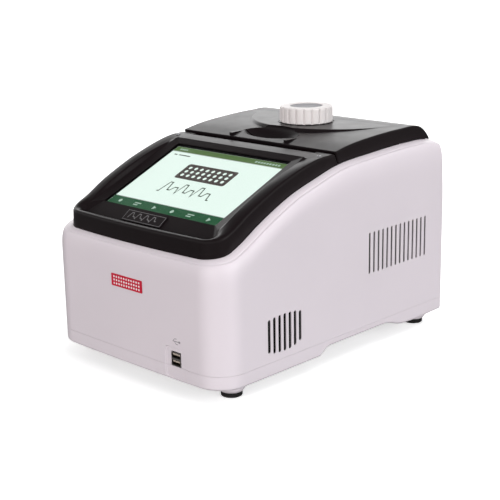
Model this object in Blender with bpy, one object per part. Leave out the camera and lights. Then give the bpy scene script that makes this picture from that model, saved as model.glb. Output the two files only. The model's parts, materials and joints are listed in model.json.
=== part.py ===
"""Bench-top thermal cycler: a moulded case, a tilted touch screen and a hinged, screw-down heated lid.

Metres, +Z up, the front facing -Y. The origin is the middle of the footprint, at the soles of the feet.
Dimensions below are in millimetres. Across is x from the centre line, up is z from the soles, and
back is y from the front of the label, which at() turns into the centred frame.
"""

import bisect
import math

import bmesh
import bpy
from mathutils import Vector

MM = 0.001
GAP = 0.3                        # clearance between pieces that touch

# Overall case
DEPTH = 377.0
HALF_WIDTH = 135.0
CASE_FRONT = 0.9
CASE_BOW = 2.2                   # how far the front face curves back by the corners
CASE_CORNER = 33.0
REAR_CORNER = 5.0
WALL = 2.5
SEAM_Z = 30.75                   # between base tray and housing

# Black top: screen bezel in front, lid behind
TOP_HALF = 119.0
TOP_FRONT = 9.5
TOP_BOW = 4.0
TOP_CORNER = 24.0
BEZEL_BACK = 195.6
SEAM_LEAN = 4.4                  # the bezel-to-lid seam leans back as it goes down
LID_FRONT = 196.4
LID_BACK = 366.6

# Screen plane
SCREEN_FRONT_Y, SCREEN_FRONT_Z = 47.0, 175.3
SCREEN_BACK_Y, SCREEN_BACK_Z = 156.75, 221.5
SCREEN_SLOPE = (SCREEN_BACK_Z - SCREEN_FRONT_Z) / (SCREEN_BACK_Y - SCREEN_FRONT_Y)
WINDOW_HALF = 88.4
WINDOW_FRONT, WINDOW_BACK = 44.6, 159.4
SCREW_X, SCREW_Y = 110.6, 179.0  # the two small screws in the bezel

# Front face: sockets in a shallow pocket, and the label
PORT_X = 69.4
POCKET_X, POCKET_Z = 70.5, 34.4
POCKET_HALF_X, POCKET_HALF_Z = 15.4, 17.4
POCKET_DEPTH = 2.4
LABEL_X0, LABEL_X1 = -26.5, 22.5
LABEL_Z0, LABEL_Z1 = 100.0, 113.5
BADGE_X0, BADGE_X1 = -39.8, 21.6

# Hinge, knob and handle axes
HINGE_Y, HINGE_Z = 345.5, 219.5
KNOB_Y = 284.0
HANDLE_Y, HANDLE_Z = 218.0, 228.5
KNOB_RADIUS = 31.3
KNOB_BOTTOM, KNOB_TOP = 242.4, 261.0
CAP_RADIUS = 19.1
SCREW_RADIUS = 5.0               # lead screw
PLATEAU_Z = 241.8
PLATEAU_RADIUS, PLATEAU_Y = 103.5, 341.5
HANDLE_HALF = 40.2
NOTCH_BACK = 223.3
BOWL = (41.0, 19.5, 14.0)        # half-axes of the finger bowl
BOWL_Y, BOWL_Z = 222.0, 240.0
PIN_RADIUS = 3.0                 # hinge pins
HANDLE_PIN_RADIUS = 1.6

# Heated plate and sample block
PLATE_BOTTOM, PLATE_TOP = 219.0, 223.4
PLATE_HALF_X, PLATE_HALF_Y = 62.0, 42.0
BLOCK_TOP = 209.0
DECK_Z = 208.0                   # top of the deck around the block

# Rear
FAN_X, FAN_Z = 52.0, 118.0
FAN_Y0, FAN_Y1 = 345.2, 370.2
FAN_HALF, FAN_BORE, FAN_HUB = 40.0, 38.0, 14.0
ROCKER_X, ROCKER_Y, ROCKER_Z = -34.0, 368.6, 60.0
ROCKER_TILT = math.radians(12)   # the rocker rests tipped to its off side
INLET_X = -74.0
PANEL_Y0, PANEL_Y1 = 370.9, 373.0

FOOT_X, FOOT_FRONT_Y, FOOT_BACK_Y = 110.7, 40.4, 352.0
FOOT_RADIUS, FOOT_TOP = 11.4, 5.7
BOSS_RADIUS = 14.4               # tapered boss of the tray above each foot

ARC_STEPS = 6                    # segments in a quarter of a case corner

WHITE = ((0.72, 0.68, 0.70), 0.38, 0.0)
BLACK = ((0.018, 0.016, 0.017), 0.30, 0.0)
RUBBER = ((0.012, 0.012, 0.012), 0.85, 0.0)
STEEL = ((0.55, 0.55, 0.56), 0.32, 1.0)
ALUMINIUM = ((0.70, 0.71, 0.72), 0.42, 1.0)
BOARD = ((0.02, 0.16, 0.07), 0.50, 0.0)
KNOB_WHITE = ((0.76, 0.74, 0.72), 0.35, 0.0)
CAP_GREY = ((0.42, 0.42, 0.42), 0.45, 0.0)
GLASS = ((0.02, 0.03, 0.03), 0.05, 0.0)
SCREEN = ((0.78, 0.93, 0.86), 0.20, 0.0)
RED = ((0.55, 0.01, 0.03), 0.40, 0.0)
CERAMIC = ((0.85, 0.84, 0.80), 0.60, 0.0)
BRASS = ((0.75, 0.58, 0.28), 0.30, 1.0)


# ---------------------------------------------------------------- curves and outlines

def smooth_curve(*points):
    """A height z(y) that runs smoothly through (y, z) points without overshooting them."""
    ys = [p[0] for p in points]
    zs = [p[1] for p in points]
    slopes = [(zs[i + 1] - zs[i]) / (ys[i + 1] - ys[i]) for i in range(len(ys) - 1)]
    inner = [(a + b) / 2 if a * b > 0 else 0.0 for a, b in zip(slopes, slopes[1:])]
    tangents = [slopes[0]] + inner + [slopes[-1]]

    def height(y):
        y = min(max(y, ys[0]), ys[-1])
        i = min(max(bisect.bisect_right(ys, y) - 1, 0), len(slopes) - 1)
        span = ys[i + 1] - ys[i]
        t = (y - ys[i]) / span
        start = (1 + 2 * t) * (1 - t) ** 2 * zs[i] + t * (1 - t) ** 2 * span * tangents[i]
        end = t * t * (3 - 2 * t) * zs[i + 1] + t * t * (t - 1) * span * tangents[i + 1]
        return start + end

    return height


shoulder_z = smooth_curve((0, 134.4), (25, 134.9), (58, 153.6), (90, 172.5), (139, 189.1),
                          (193, 196.2), (270, 199.5), (377, 198.0))
lip_z = smooth_curve((0, 147.0), (14, 149.0), (30, 152.2), (50, 161.0), (75, 175.1), (122, 196.4),
                     (156, 206.7), (199, 217.4), (256, 221.9), (318, 224.6), (352, 224.0), (377, 219.5))
crease_z = smooth_curve((9, 167.2), (22, 169.2), (40, 176.0), (66, 190.8), (92, 203.0), (114, 212.0),
                        (153, 225.0), (172, 230.2), (184, 232.1), (200, 232.4))
lid_top_z = smooth_curve((196, 231.6), (223, 236.3), (266, 240.0), (311, 241.6), (340, 241.4),
                         (351, 238.0), (361, 230.0), (366.6, 222.4))
base_z = smooth_curve((0, 15.5), (152, 15.5), (168, 23.5), (266, 23.5), (296, 16.0), (377, 15.5))


def screen_z(y, offset=0.0):
    return SCREEN_FRONT_Z + (y - SCREEN_FRONT_Y) * SCREEN_SLOPE + offset


def at(x, y, z):
    """A point of the centred frame in metres, from millimetres across, back and up."""
    return Vector((x * MM, (y - DEPTH / 2) * MM, z * MM))


def half_plan(half, front, back, front_radius, back_radius, stations, bow=0.0, steps=ARC_STEPS):
    """Right half of a round-cornered outline, from the middle of the front to the middle of the back."""
    flat = half - front_radius
    shoulder = front + bow * (flat / half) ** 2
    points = [(flat * k / 3, front + bow * (flat * k / 3 / half) ** 2) for k in range(3)]
    for k in range(steps + 1):
        turn = math.pi / 2 * k / steps
        points.append((flat + front_radius * math.sin(turn), shoulder + front_radius * (1 - math.cos(turn))))
    points += [(half, y) for y in stations]
    for k in range(steps + 1):
        turn = math.pi / 2 * k / steps
        points.append((half - back_radius * (1 - math.cos(turn)), back - back_radius * (1 - math.sin(turn))))
    points.append((0.0, back))
    return points


def ring(plan, z):
    """A closed ring of points over a half plan and its mirror image; z is a number or z(y)."""
    height = z if callable(z) else (lambda y: z)
    right = [(x, y, height(y)) for x, y in plan]
    left = [(-x, y, h) for x, y, h in reversed(right[1:-1])]
    return right + left


# ---------------------------------------------------------------- solids

def paint(obj, finish):
    colour, roughness, metallic = finish
    mat = bpy.data.materials.new(obj.name)
    mat.use_nodes = True
    shader = mat.node_tree.nodes["Principled BSDF"]
    shader.inputs["Base Color"].default_value = (*colour, 1.0)
    shader.inputs["Roughness"].default_value = roughness
    shader.inputs["Metallic"].default_value = metallic
    mat.diffuse_color = (*colour, 1.0)
    obj.data.materials.append(mat)


def add_solid(name, bm, finish=None, pivot=None):
    """Turns a mesh in world metres into an object whose origin is its pivot; no finish means a cutter."""
    bmesh.ops.recalc_face_normals(bm, faces=bm.faces)
    origin = at(*pivot) if pivot else Vector((0.0, 0.0, 0.0))
    bmesh.ops.translate(bm, verts=bm.verts, vec=-origin)
    mesh = bpy.data.meshes.new(name)
    bm.to_mesh(mesh)
    bm.free()
    obj = bpy.data.objects.new(name, mesh)
    obj.location = origin
    bpy.context.scene.collection.objects.link(obj)
    if finish:
        paint(obj, finish)
        mesh.shade_smooth()
        mesh.set_sharp_from_angle(angle=math.radians(35))
    else:
        obj.hide_render = True
        obj.display_type = "WIRE"
    return obj


def combine(obj, tool, operation="DIFFERENCE"):
    modifier = obj.modifiers.new(f"{operation.lower()}_{tool.name}", "BOOLEAN")
    modifier.operation = operation
    modifier.object = tool


def cap(bm, loop):
    """Closes a mirrored loop by strips from side to side, so its height may change from front to back."""
    half = len(loop) // 2
    edge = 0.1 * MM
    start = next(i for i in range(1, half) if loop[i].co.y > loop[0].co.y + edge)
    stop = next(i for i in range(half - 1, 0, -1) if loop[i].co.y < loop[half].co.y - edge)
    bm.faces.new(loop[-start:] + loop[:start + 1])
    for i in range(start, stop):
        bm.faces.new((loop[i], loop[i + 1], loop[-i - 1], loop[-i]))
    bm.faces.new(loop[stop:len(loop) - stop + 1])


def loft(name, rings, finish=None, capped=True, pivot=None):
    """Skins mirrored rings in order: capped by strips across x, or closed back on itself as a tube."""
    bm = bmesh.new()
    loops = [[bm.verts.new(at(*p)) for p in r] for r in rings]
    count = len(loops[0])
    pairs = list(zip(loops, loops[1:])) + ([] if capped else [(loops[-1], loops[0])])
    for low, high in pairs:
        for i in range(count):
            j = (i + 1) % count
            bm.faces.new((low[i], low[j], high[j], high[i]))
    if capped:
        cap(bm, loops[0])
        cap(bm, loops[-1])
    return add_solid(name, bm, finish, pivot)


def prism(bm, outline, axis, start, end):
    """Extrudes a flat outline along x, y or z; the outline holds the other two coordinates in order."""
    def point(pair, along):
        values = list(pair)
        values.insert("xyz".index(axis), along)
        return at(*values)

    low = [bm.verts.new(point(p, start)) for p in outline]
    high = [bm.verts.new(point(p, end)) for p in outline]
    bm.faces.new(low)
    bm.faces.new(high)
    for i in range(len(outline)):
        j = (i + 1) % len(outline)
        bm.faces.new((low[i], low[j], high[j], high[i]))


def extruded(name, outline, axis, start, end, finish=None, pivot=None):
    bm = bmesh.new()
    prism(bm, outline, axis, start, end)
    return add_solid(name, bm, finish, pivot)


def box(name, x0, x1, y0, y1, z0, z1, finish=None, pivot=None):
    return extruded(name, [(x0, y0), (x1, y0), (x1, y1), (x0, y1)], "z", z0, z1, finish, pivot)


def circle(u, v, radius, steps=24):
    return [(u + radius * math.cos(math.tau * k / steps), v + radius * math.sin(math.tau * k / steps))
            for k in range(steps)]


def slot(u, v0, v1, width, steps=4):
    """A round-ended slot about u, from v0 to v1."""
    r = width / 2
    top = [(u + r * math.cos(math.pi * k / steps), v1 - r + r * math.sin(math.pi * k / steps))
           for k in range(steps + 1)]
    bottom = [(u - r * math.cos(math.pi * k / steps), v0 + r - r * math.sin(math.pi * k / steps))
              for k in range(steps + 1)]
    return top + bottom


def rounded_box(u, v, half_u, half_v, radius, steps=3):
    """A round-cornered rectangle about (u, v)."""
    points = []
    for corner, (su, sv) in enumerate(((1, 1), (-1, 1), (-1, -1), (1, -1))):
        for k in range(steps + 1):
            turn = math.pi / 2 * (corner + k / steps)
            points.append((u + su * (half_u - radius) + radius * math.cos(turn),
                           v + sv * (half_v - radius) + radius * math.sin(turn)))
    return points


def revolve(bm, x, y, profile, steps=24):
    """Turns a profile of (radius, z) about a vertical axis; it runs from axis to axis, or is closed."""
    loops = []
    for k, (radius, z) in enumerate(profile):
        if k and (radius, z) == profile[0]:
            loops.append(loops[0])
        elif radius == 0:
            loops.append([bm.verts.new(at(x, y, z))] * steps)
        else:
            loops.append([bm.verts.new(at(px, py, z)) for px, py in circle(x, y, radius, steps)])
    for low, high in zip(loops, loops[1:]):
        for i in range(steps):
            j = (i + 1) % steps
            corners = list(dict.fromkeys((low[i], low[j], high[j], high[i])))
            if len(corners) > 2:
                bm.faces.new(corners)


def turned(name, x, y, profile, finish, steps=24, pivot=None):
    bm = bmesh.new()
    revolve(bm, x, y, profile, steps)
    return add_solid(name, bm, finish, pivot)


def screen_slab(name, half, front, back, offset, thickness, finish):
    """A flat slab lying along the screen plane."""
    outline = [(front, screen_z(front, offset)), (back, screen_z(back, offset)),
               (back, screen_z(back, offset - thickness)), (front, screen_z(front, offset - thickness))]
    return extruded(name, outline, "x", -half, half, finish)


# ---------------------------------------------------------------- case

SHOULDER_STEPS = 4
CASE_STATIONS = (48, 62, 78, 95, 115, 139, 165, 193, 225, 265, 305, 335, 352)
BASE_STATIONS = (48, 100, 152, 157, 162, 168, 220, 266, 276, 286, 296, 330, 352)


def case_plan(half, front, back, stations=CASE_STATIONS, corner=CASE_CORNER, rear=REAR_CORNER,
              bow=CASE_BOW):
    return half_plan(half, front, back, corner, rear, stations, bow)


def inset_plan(inset):
    """The base tray's outline, moved in by an even distance."""
    return case_plan(HALF_WIDTH - inset, CASE_FRONT + inset, DEPTH - inset, BASE_STATIONS,
                     CASE_CORNER - inset, REAR_CORNER - inset)


def pocket_cutter(name):
    """The shallow pocket around the sockets, which both case halves share."""
    outline = rounded_box(POCKET_X, POCKET_Z, POCKET_HALF_X, POCKET_HALF_Z, 5)
    return extruded(name, outline, "y", -4, POCKET_DEPTH)


def build_base():
    outer, inner = inset_plan(0.0), inset_plan(WALL)
    rings = [ring(inner, lambda y: base_z(y) + WALL), ring(inner, SEAM_Z - GAP), ring(outer, SEAM_Z - GAP),
             ring(outer, lambda y: base_z(y) + WALL), ring(inner, base_z)]
    tray = loft("base_tray", rings, WHITE)
    combine(tray, pocket_cutter("cutter_base_pocket"))
    bosses = bmesh.new()
    under = FOOT_TOP + GAP
    profile = [(0, under), (BOSS_RADIUS - 2.2, under), (BOSS_RADIUS, under + 2.8), (BOSS_RADIUS, 17.0),
               (0, 17.0)]
    for x in (-FOOT_X, FOOT_X):
        for y in (FOOT_FRONT_Y, FOOT_BACK_Y):
            revolve(bosses, x, y, profile, 20)
    combine(tray, add_solid("tool_foot_bosses", bosses), "UNION")


def build_feet():
    profile = [(0, 0), (FOOT_RADIUS - 1.2, 0), (FOOT_RADIUS, 1.4), (FOOT_RADIUS, FOOT_TOP), (0, FOOT_TOP)]
    for side, x in (("left", -FOOT_X), ("right", FOOT_X)):
        for end, y in (("front", FOOT_FRONT_Y), ("rear", FOOT_BACK_Y)):
            turned(f"foot_{end}_{side}", x, y, profile, RUBBER)


def vent_slots(bm, x0, x1):
    """Seven front slots with a rounded outline low on the side, and fourteen tall ones behind."""
    pitch = 7.91
    front_inset = (3.2, 1.0, 0.3, 0.0, 0.3, 1.8, 5.2)     # shortens each slot at its ends
    for k, inset in enumerate(front_inset):
        prism(bm, slot(72.5 + pitch * k, 38.2 + inset, 79.2 - inset / 2, 4.2), "x", x0, x1)
    for k in range(14):
        prism(bm, slot(236.2 + pitch * k, 89.9, 137.4, 3.0), "x", x0, x1)


def shoulder_ring(inward, upward):
    """One ring of the rounded shoulder, from the wall (0, 0) to the edge of the ledge (1, 1)."""
    def height(y):
        low = shoulder_z(y) - 9.0
        return low + (lip_z(y) - 2.4 - low) * upward

    plan = case_plan(HALF_WIDTH - 7.6 * inward, CASE_FRONT + 4.6 * inward, DEPTH - 2.4 - 4.2 * inward,
                     corner=CASE_CORNER - 5 * inward, rear=REAR_CORNER - 2 * inward,
                     bow=CASE_BOW + (TOP_BOW - CASE_BOW) * inward)
    return ring(plan, height)


def ledge_ring(inset, drop):
    """One ring of the ledge that carries the black top; drop is how far it lies below the lip."""
    share = (inset - 7.6) / (15.5 - 7.6)
    plan = case_plan(HALF_WIDTH - inset, 5.5 + 3.5 * share, 370.4 - 3.0 * share, corner=28 - 3 * share,
                     rear=3.0, bow=TOP_BOW)
    return ring(plan, lambda y: lip_z(y) - drop)


def build_housing():
    rings = [
        ring(case_plan(HALF_WIDTH, CASE_FRONT, DEPTH), SEAM_Z + GAP),
        ring(case_plan(HALF_WIDTH, CASE_FRONT, DEPTH - 0.3), lambda y: shoulder_z(y) - 40),
    ]
    for k in range(SHOULDER_STEPS + 1):
        turn = math.pi / 2 * k / SHOULDER_STEPS
        rings.append(shoulder_ring(1 - math.cos(turn), math.sin(turn)))
    rings += [ledge_ring(inset, drop) for inset, drop in ((8.8, 2.1), (9.7, 1.3), (15.5, 0.0), (15.5, 9.0))]
    rings += [
        ring(case_plan(130.0, 5.0, 369.8, corner=29, rear=9), lambda y: shoulder_z(y) - 7),
        ring(case_plan(132.5, 3.4, 373.8, corner=30.5, rear=8.5), lambda y: shoulder_z(y) - 30),
        ring(case_plan(132.5, 3.4, 374.4, corner=30.5, rear=8.5), SEAM_Z + GAP),
    ]
    housing = loft("housing_shell", rings, WHITE, capped=False)
    vents = bmesh.new()
    vent_slots(vents, 125, 141)
    vent_slots(vents, -141, -125)
    combine(housing, add_solid("cutter_vents", vents))
    combine(housing, pocket_cutter("cutter_housing_pocket"))
    combine(housing, box("cutter_usb_hole", PORT_X - 7.2, PORT_X + 7.2, -4, 12, 20, 47.0))
    combine(housing, box("cutter_rear_window", -104, 104, 368, 382, 46, 162))


def build_front_details():
    bottom = SEAM_Z + 0.45
    body = box("usb_port", PORT_X - 6.8, PORT_X + 6.8, 2.0, 18.0, bottom, bottom + 15.2, STEEL)
    openings = bmesh.new()
    for z in (bottom + 1.4, bottom + 9.0):
        x0, x1 = PORT_X - 5.9, PORT_X + 5.9
        prism(openings, [(x0, z), (x1, z), (x1, z + 4.8), (x0, z + 4.8)], "y", 0, 14)
    combine(body, add_solid("cutter_usb_slots", openings))
    box("usb_board", PORT_X - 9, PORT_X + 9, 6.0, 40, bottom - GAP - 1.6, bottom - GAP, BOARD)
    box("front_label", LABEL_X0, LABEL_X1, 0.0, CASE_FRONT - GAP, LABEL_Z0, LABEL_Z1, RED)


# ---------------------------------------------------------------- screen and bezel

BEZEL_STATIONS = (46, 56, 68, 80, 92, 104, 116, 128, 140, 152, 158)


def bezel_plan(half, front, back, corner, rear, bow=0.0):
    return half_plan(half, front, back, corner, rear, BEZEL_STATIONS, bow)


def build_bezel():
    crown_z = smooth_curve((24, 162.6), (28, 163.2), (34, 171.5), (44, 178.6), (56, 186.0), (92, 203.2),
                           (128, 216.6), (150, 222.6), (172, 227.4))
    mid_crown_z = smooth_curve((14, 166.6), (22, 169.4), (40, 177.2), (66, 191.8), (92, 203.8), (114, 212.6),
                               (153, 225.0), (172, 229.6), (184, 231.4))

    def ledge_z(y):
        return min(screen_z(y, 2.6), 167.4 + (y - 33.5) * 1.9)

    def under_ledge_z(y):
        return min(screen_z(y, -0.1), 168.9 + (y - 39.5) * 1.9)

    def skin(height, y):
        """Underside of the crown, thicker behind the screen where the groove is cut."""
        return height(y) - 2.6 - 6.0 * min(max((y - 166) / 12, 0), 1)

    rings = [
        ring(bezel_plan(TOP_HALF, TOP_FRONT, BEZEL_BACK + SEAM_LEAN, TOP_CORNER, 1.5, TOP_BOW),
             lambda y: lip_z(y) - 6),
        ring(bezel_plan(TOP_HALF, TOP_FRONT, BEZEL_BACK + SEAM_LEAN, TOP_CORNER, 1.5, TOP_BOW), lip_z),
        ring(bezel_plan(TOP_HALF - 1, TOP_FRONT + 0.6, BEZEL_BACK + 0.4, TOP_CORNER - 1, 1.5, TOP_BOW),
             lambda y: crease_z(y) - 1.6),
        ring(bezel_plan(TOP_HALF - 2.6, TOP_FRONT + 2.0, BEZEL_BACK, TOP_CORNER - 2, 1.5, TOP_BOW), crease_z),
        ring(bezel_plan(110, 17, 182, 14, 4, 2), mid_crown_z),
        ring(bezel_plan(102.5, 27.0, 169.6, 7, 3), crown_z),
        ring(bezel_plan(100, 33.5, 167.6, 4, 3), ledge_z),
        ring(bezel_plan(WINDOW_HALF, WINDOW_FRONT, WINDOW_BACK, 1, 1), lambda y: screen_z(y, 0.9)),
        ring(bezel_plan(WINDOW_HALF, WINDOW_FRONT, WINDOW_BACK, 1, 1), lambda y: screen_z(y, -0.1)),
        ring(bezel_plan(97.5, 39.5, 165.5, 1.5, 2), under_ledge_z),
        ring(bezel_plan(105, 27.5, 172, 7, 3), lambda y: skin(crown_z, y)),
        ring(bezel_plan(112, 17.5, 184, 13, 4, 2), lambda y: skin(mid_crown_z, y)),
        ring(bezel_plan(TOP_HALF - 3.4, TOP_FRONT + 3.0, BEZEL_BACK - 2.5, TOP_CORNER - 3, 1.5, TOP_BOW),
             lambda y: skin(crease_z, y) - 0.6),
        ring(bezel_plan(TOP_HALF - 2.4, TOP_FRONT + 2.5, BEZEL_BACK + SEAM_LEAN - 2.5, TOP_CORNER - 2, 1.5,
                        TOP_BOW), lambda y: lip_z(y) - 6),
    ]
    bezel = loft("display_bezel", rings, BLACK, capped=False)
    groove = extruded("cutter_bezel_groove", [(181.5, 233.5), (183.5, 230.5), (193.0, 227.6), (199, 227.4),
                                              (199, 238), (181.5, 238)], "x", -95, 95)
    combine(bezel, groove)
    heads, shanks = bmesh.new(), bmesh.new()
    for x in (-SCREW_X, SCREW_X):
        prism(heads, circle(x, SCREW_Y, 2.7, 12), "z", 229.6, 236)
        prism(shanks, circle(x, SCREW_Y, 1.8, 12), "z", 212, 231)
    combine(bezel, add_solid("cutter_screw_heads", heads))
    combine(bezel, add_solid("cutter_screw_shanks", shanks))


def build_screen():
    screen_slab("touch_glass", 92.5, WINDOW_FRONT + GAP, 161.5, -0.6, 1.1, GLASS)
    screen_slab("lcd_panel", 88.0, WINDOW_FRONT + 0.4, 158.5, -2.0, 6.0, SCREEN)
    screen_slab("display_board", 70.0, 66.0, 140.0, -9.0, 1.6, BOARD)
    slope = 0.70
    low, high = 28.0, 41.0
    low_z = 163.9
    high_z = low_z + slope * (high - low)
    badge = [(low, low_z), (high, high_z), (high - 0.5, high_z + 0.8), (low - 0.5, low_z + 0.8)]
    extruded("badge_plate", badge, "x", BADGE_X0, BADGE_X1, BLACK)
    for side, x in (("left", -SCREW_X), ("right", SCREW_X)):
        profile = [(0, 225.2), (1.4, 225.2), (1.4, 229.9), (2.3, 229.9), (2.3, 231.2), (1.6, 231.9),
                   (0, 231.9)]
        turned(f"bezel_screw_{side}", x, SCREW_Y, profile, STEEL, 12)


# ---------------------------------------------------------------- lid and its mechanism

LID_STATIONS = (204, 212, 223, 238, 252, 266, 288, 311, 328, 340, 345, 351, 356, 361)
HINGE = (0, HINGE_Y, HINGE_Z)
HANDLE = (0, HANDLE_Y, HANDLE_Z)
KNOB = (0, KNOB_Y, KNOB_BOTTOM)


def lid_plan(inset, front, back):
    return half_plan(TOP_HALF - inset, front, back, 1.5, 1.5, LID_STATIONS, steps=2)


def bowl_cutter(name):
    """The ellipsoid that hollows the finger bowl out of the lid and its handle."""
    bm = bmesh.new()
    bmesh.ops.create_uvsphere(bm, u_segments=28, v_segments=14, radius=1.0)
    for vert in bm.verts:
        vert.co = at(vert.co.x * BOWL[0], BOWL_Y + vert.co.y * BOWL[1], BOWL_Z + vert.co.z * BOWL[2])
    return add_solid(name, bm)


def build_lid():
    rings = [
        ring(lid_plan(3.0, LID_FRONT + 3.0, LID_BACK - 3.2), lambda y: lid_top_z(y + 1.2) - 3.2),
        ring(lid_plan(3.0, LID_FRONT + SEAM_LEAN + 3.0, LID_BACK - 3.0), lambda y: lip_z(y) + 0.4),
        ring(lid_plan(0.0, LID_FRONT + SEAM_LEAN, LID_BACK), lambda y: lip_z(y) + 0.4),
        ring(lid_plan(0.0, LID_FRONT + 0.6, LID_BACK), lambda y: lid_top_z(y) - 2.2),
        ring(lid_plan(0.7, LID_FRONT + 0.1, LID_BACK - 0.2), lambda y: lid_top_z(y) - 0.7),
        ring(lid_plan(2.2, LID_FRONT, LID_BACK - 0.5), lid_top_z),
    ]
    lid = loft("lid_cover", rings, BLACK, pivot=HINGE)

    turns = [math.pi * (k / 24 - 0.5) for k in range(25)]
    plateau = [(PLATEAU_RADIUS * math.sin(turn), min(PLATEAU_Y - PLATEAU_RADIUS * math.cos(turn), 338.0))
               for turn in turns]
    combine(lid, extruded("tool_plateau", plateau, "z", 237.6, PLATEAU_Z), "UNION")
    combine(lid, box("tool_bowl_backing", -44.5, 44.5, 199.6, 244.5, 223.9, 235.5), "UNION")
    notch = HANDLE_HALF + 0.4
    combine(lid, box("cutter_handle_notch", -notch, notch, 190, NOTCH_BACK, 210, 250))
    combine(lid, bowl_cutter("cutter_lid_bowl"))
    bores = bmesh.new()
    prism(bores, circle(0, KNOB_Y, 7.4, 20), "z", 230, 250)
    for side in (-1, 1):
        x0, x1 = sorted((side * 38.0, side * 48.0))
        prism(bores, circle(HANDLE_Y, HANDLE_Z, HANDLE_PIN_RADIUS + GAP, 12), "x", x0, x1)
    combine(lid, add_solid("cutter_lid_bores", bores))

    liner = box("lid_liner", -113, 113, 226, 316, 221.5, 223.5, BLACK, HINGE)
    combine(liner, box("cutter_liner_window", -66, 66, KNOB_Y - 46, KNOB_Y + 46, 215, 230))
    turned("screw_bush", 0, KNOB_Y, [(5.4, 234.6), (9.5, 234.6), (9.5, 237.0), (7.0, 237.0), (7.0, 242.0),
                                     (5.4, 242.0), (5.4, 234.6)], BRASS, 20, HINGE)


def build_hinge():
    for side, name in ((-1, "left"), (1, "right")):
        def span(inner, outer):
            return sorted((side * inner, side * outer))

        def eye(first, last):
            """The round end about the pin, from one angle to the other in steps of 30 degrees."""
            return [(HINGE_Y + 7 * math.cos(math.radians(d)), HINGE_Z + 7 * math.sin(math.radians(d)))
                    for d in range(first, last + 1, 30)]

        foot = DECK_Z + GAP
        stem = [(326, foot), (346.5, foot), (352.5, 217), *eye(0, 180), (336.0, 213.5), (326, 211)]
        bracket = extruded(f"hinge_bracket_{name}", stem, "x", *span(78, 84), STEEL)
        reach = [(300, 236.6), (300, 232), (337.5, 215.5), *eye(-120, 60), (345, 234.4), (338, 236.6)]
        arm = extruded(f"hinge_arm_{name}", reach, "x", *span(84.4, 89), STEEL, HINGE)
        hole = extruded(f"cutter_hinge_hole_{name}", circle(HINGE_Y, HINGE_Z, PIN_RADIUS + GAP, 16), "x",
                        *span(74, 94))
        combine(bracket, hole)
        combine(arm, hole)
        extruded(f"hinge_pin_{name}", circle(HINGE_Y, HINGE_Z, PIN_RADIUS, 16), "x", *span(77, 90), STEEL)


def build_handle():
    outline = [(LID_FRONT + 0.2, 231.7), (199.8, 222.2), (206, 221.8), (216, 223.2)]
    outline += [(HANDLE_Y + 4.0 * math.cos(math.radians(d)), HANDLE_Z + 4.0 * math.sin(math.radians(d)))
                for d in (-90, -60, -30, 0)]
    outline += [(221.6, lid_top_z(221.6)), (209, lid_top_z(209)), (LID_FRONT + 1.2, 232.2)]
    handle = extruded("lid_handle", outline, "x", -HANDLE_HALF, HANDLE_HALF, BLACK, HANDLE)
    combine(handle, bowl_cutter("cutter_handle_bowl"))
    sockets = bmesh.new()
    for side in (-1, 1):
        x0, x1 = sorted((side * 33.7, side * 42.0))
        prism(sockets, circle(HANDLE_Y, HANDLE_Z, HANDLE_PIN_RADIUS + GAP, 12), "x", x0, x1)
    combine(handle, add_solid("cutter_handle_sockets", sockets))
    for side, name in ((-1, "left"), (1, "right")):
        x0, x1 = sorted((side * 34.0, side * 46.5))
        extruded(f"handle_pin_{name}", circle(HANDLE_Y, HANDLE_Z, HANDLE_PIN_RADIUS, 12), "x", x0, x1, STEEL,
                 HINGE)
    hook = [(203.5, 221.4), (203.5, 219.6), (206, 219.6), (206, 208.8), (212.6, 208.8), (212.6, 210.9),
            (208.6, 211.4), (208.6, 219.6), (211, 219.6), (211, 221.4)]
    extruded("latch_hook", hook, "x", -8, 8, STEEL, HANDLE)
    foot = DECK_Z + GAP
    strike = [(-15, foot), (-11, foot), (-11, 211.9), (11, 211.9), (11, foot), (15, foot), (15, 214.6),
              (-15, 214.6)]
    extruded("latch_strike", strike, "y", 210.2, 214.0, STEEL)


def build_knob():
    flutes, per_flute = 18, 4
    count = flutes * per_flute

    def fluted(radius, depth):
        return [(radius - depth * (0.5 - 0.5 * math.cos(math.tau * k / per_flute)), math.tau * k / count)
                for k in range(count)]

    def level(bm, polar, z):
        return [bm.verts.new(at(r * math.cos(a), KNOB_Y + r * math.sin(a), z)) for r, a in polar]

    bm = bmesh.new()
    bore = fluted(SCREW_RADIUS + GAP, 0.0)
    recess = fluted(CAP_RADIUS + GAP, 0.0)
    levels = [
        level(bm, bore, KNOB_BOTTOM + 15.0),
        level(bm, bore, KNOB_BOTTOM),
        level(bm, fluted(KNOB_RADIUS, 0.9), KNOB_BOTTOM),
        level(bm, fluted(KNOB_RADIUS, 0.9), KNOB_TOP - 3.2),
        level(bm, fluted(KNOB_RADIUS - 2.6, 0.2), KNOB_TOP),
        level(bm, recess, KNOB_TOP),
        level(bm, recess, KNOB_TOP - 2.4),
    ]
    for low, high in zip(levels, levels[1:]):
        for i in range(count):
            j = (i + 1) % count
            bm.faces.new((low[i], low[j], high[j], high[i]))
    bm.faces.new(levels[0])
    bm.faces.new(levels[-1])
    add_solid("knob", bm, KNOB_WHITE, KNOB)
    cap_profile = [(0, KNOB_TOP - 2.1), (CAP_RADIUS, KNOB_TOP - 2.1), (CAP_RADIUS, KNOB_TOP - 1.0),
                   (CAP_RADIUS - 0.9, KNOB_TOP - 0.6), (0, KNOB_TOP - 0.6)]
    turned("knob_cap", 0, KNOB_Y, cap_profile, CAP_GREY, 48, KNOB)
    screw_profile = [(0, 224.6), (SCREW_RADIUS - 0.8, 224.6), (SCREW_RADIUS, 225.4), (SCREW_RADIUS, 257.0),
                     (0, 257.0)]
    turned("lead_screw", 0, KNOB_Y, screw_profile, STEEL, 16, KNOB)


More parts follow.
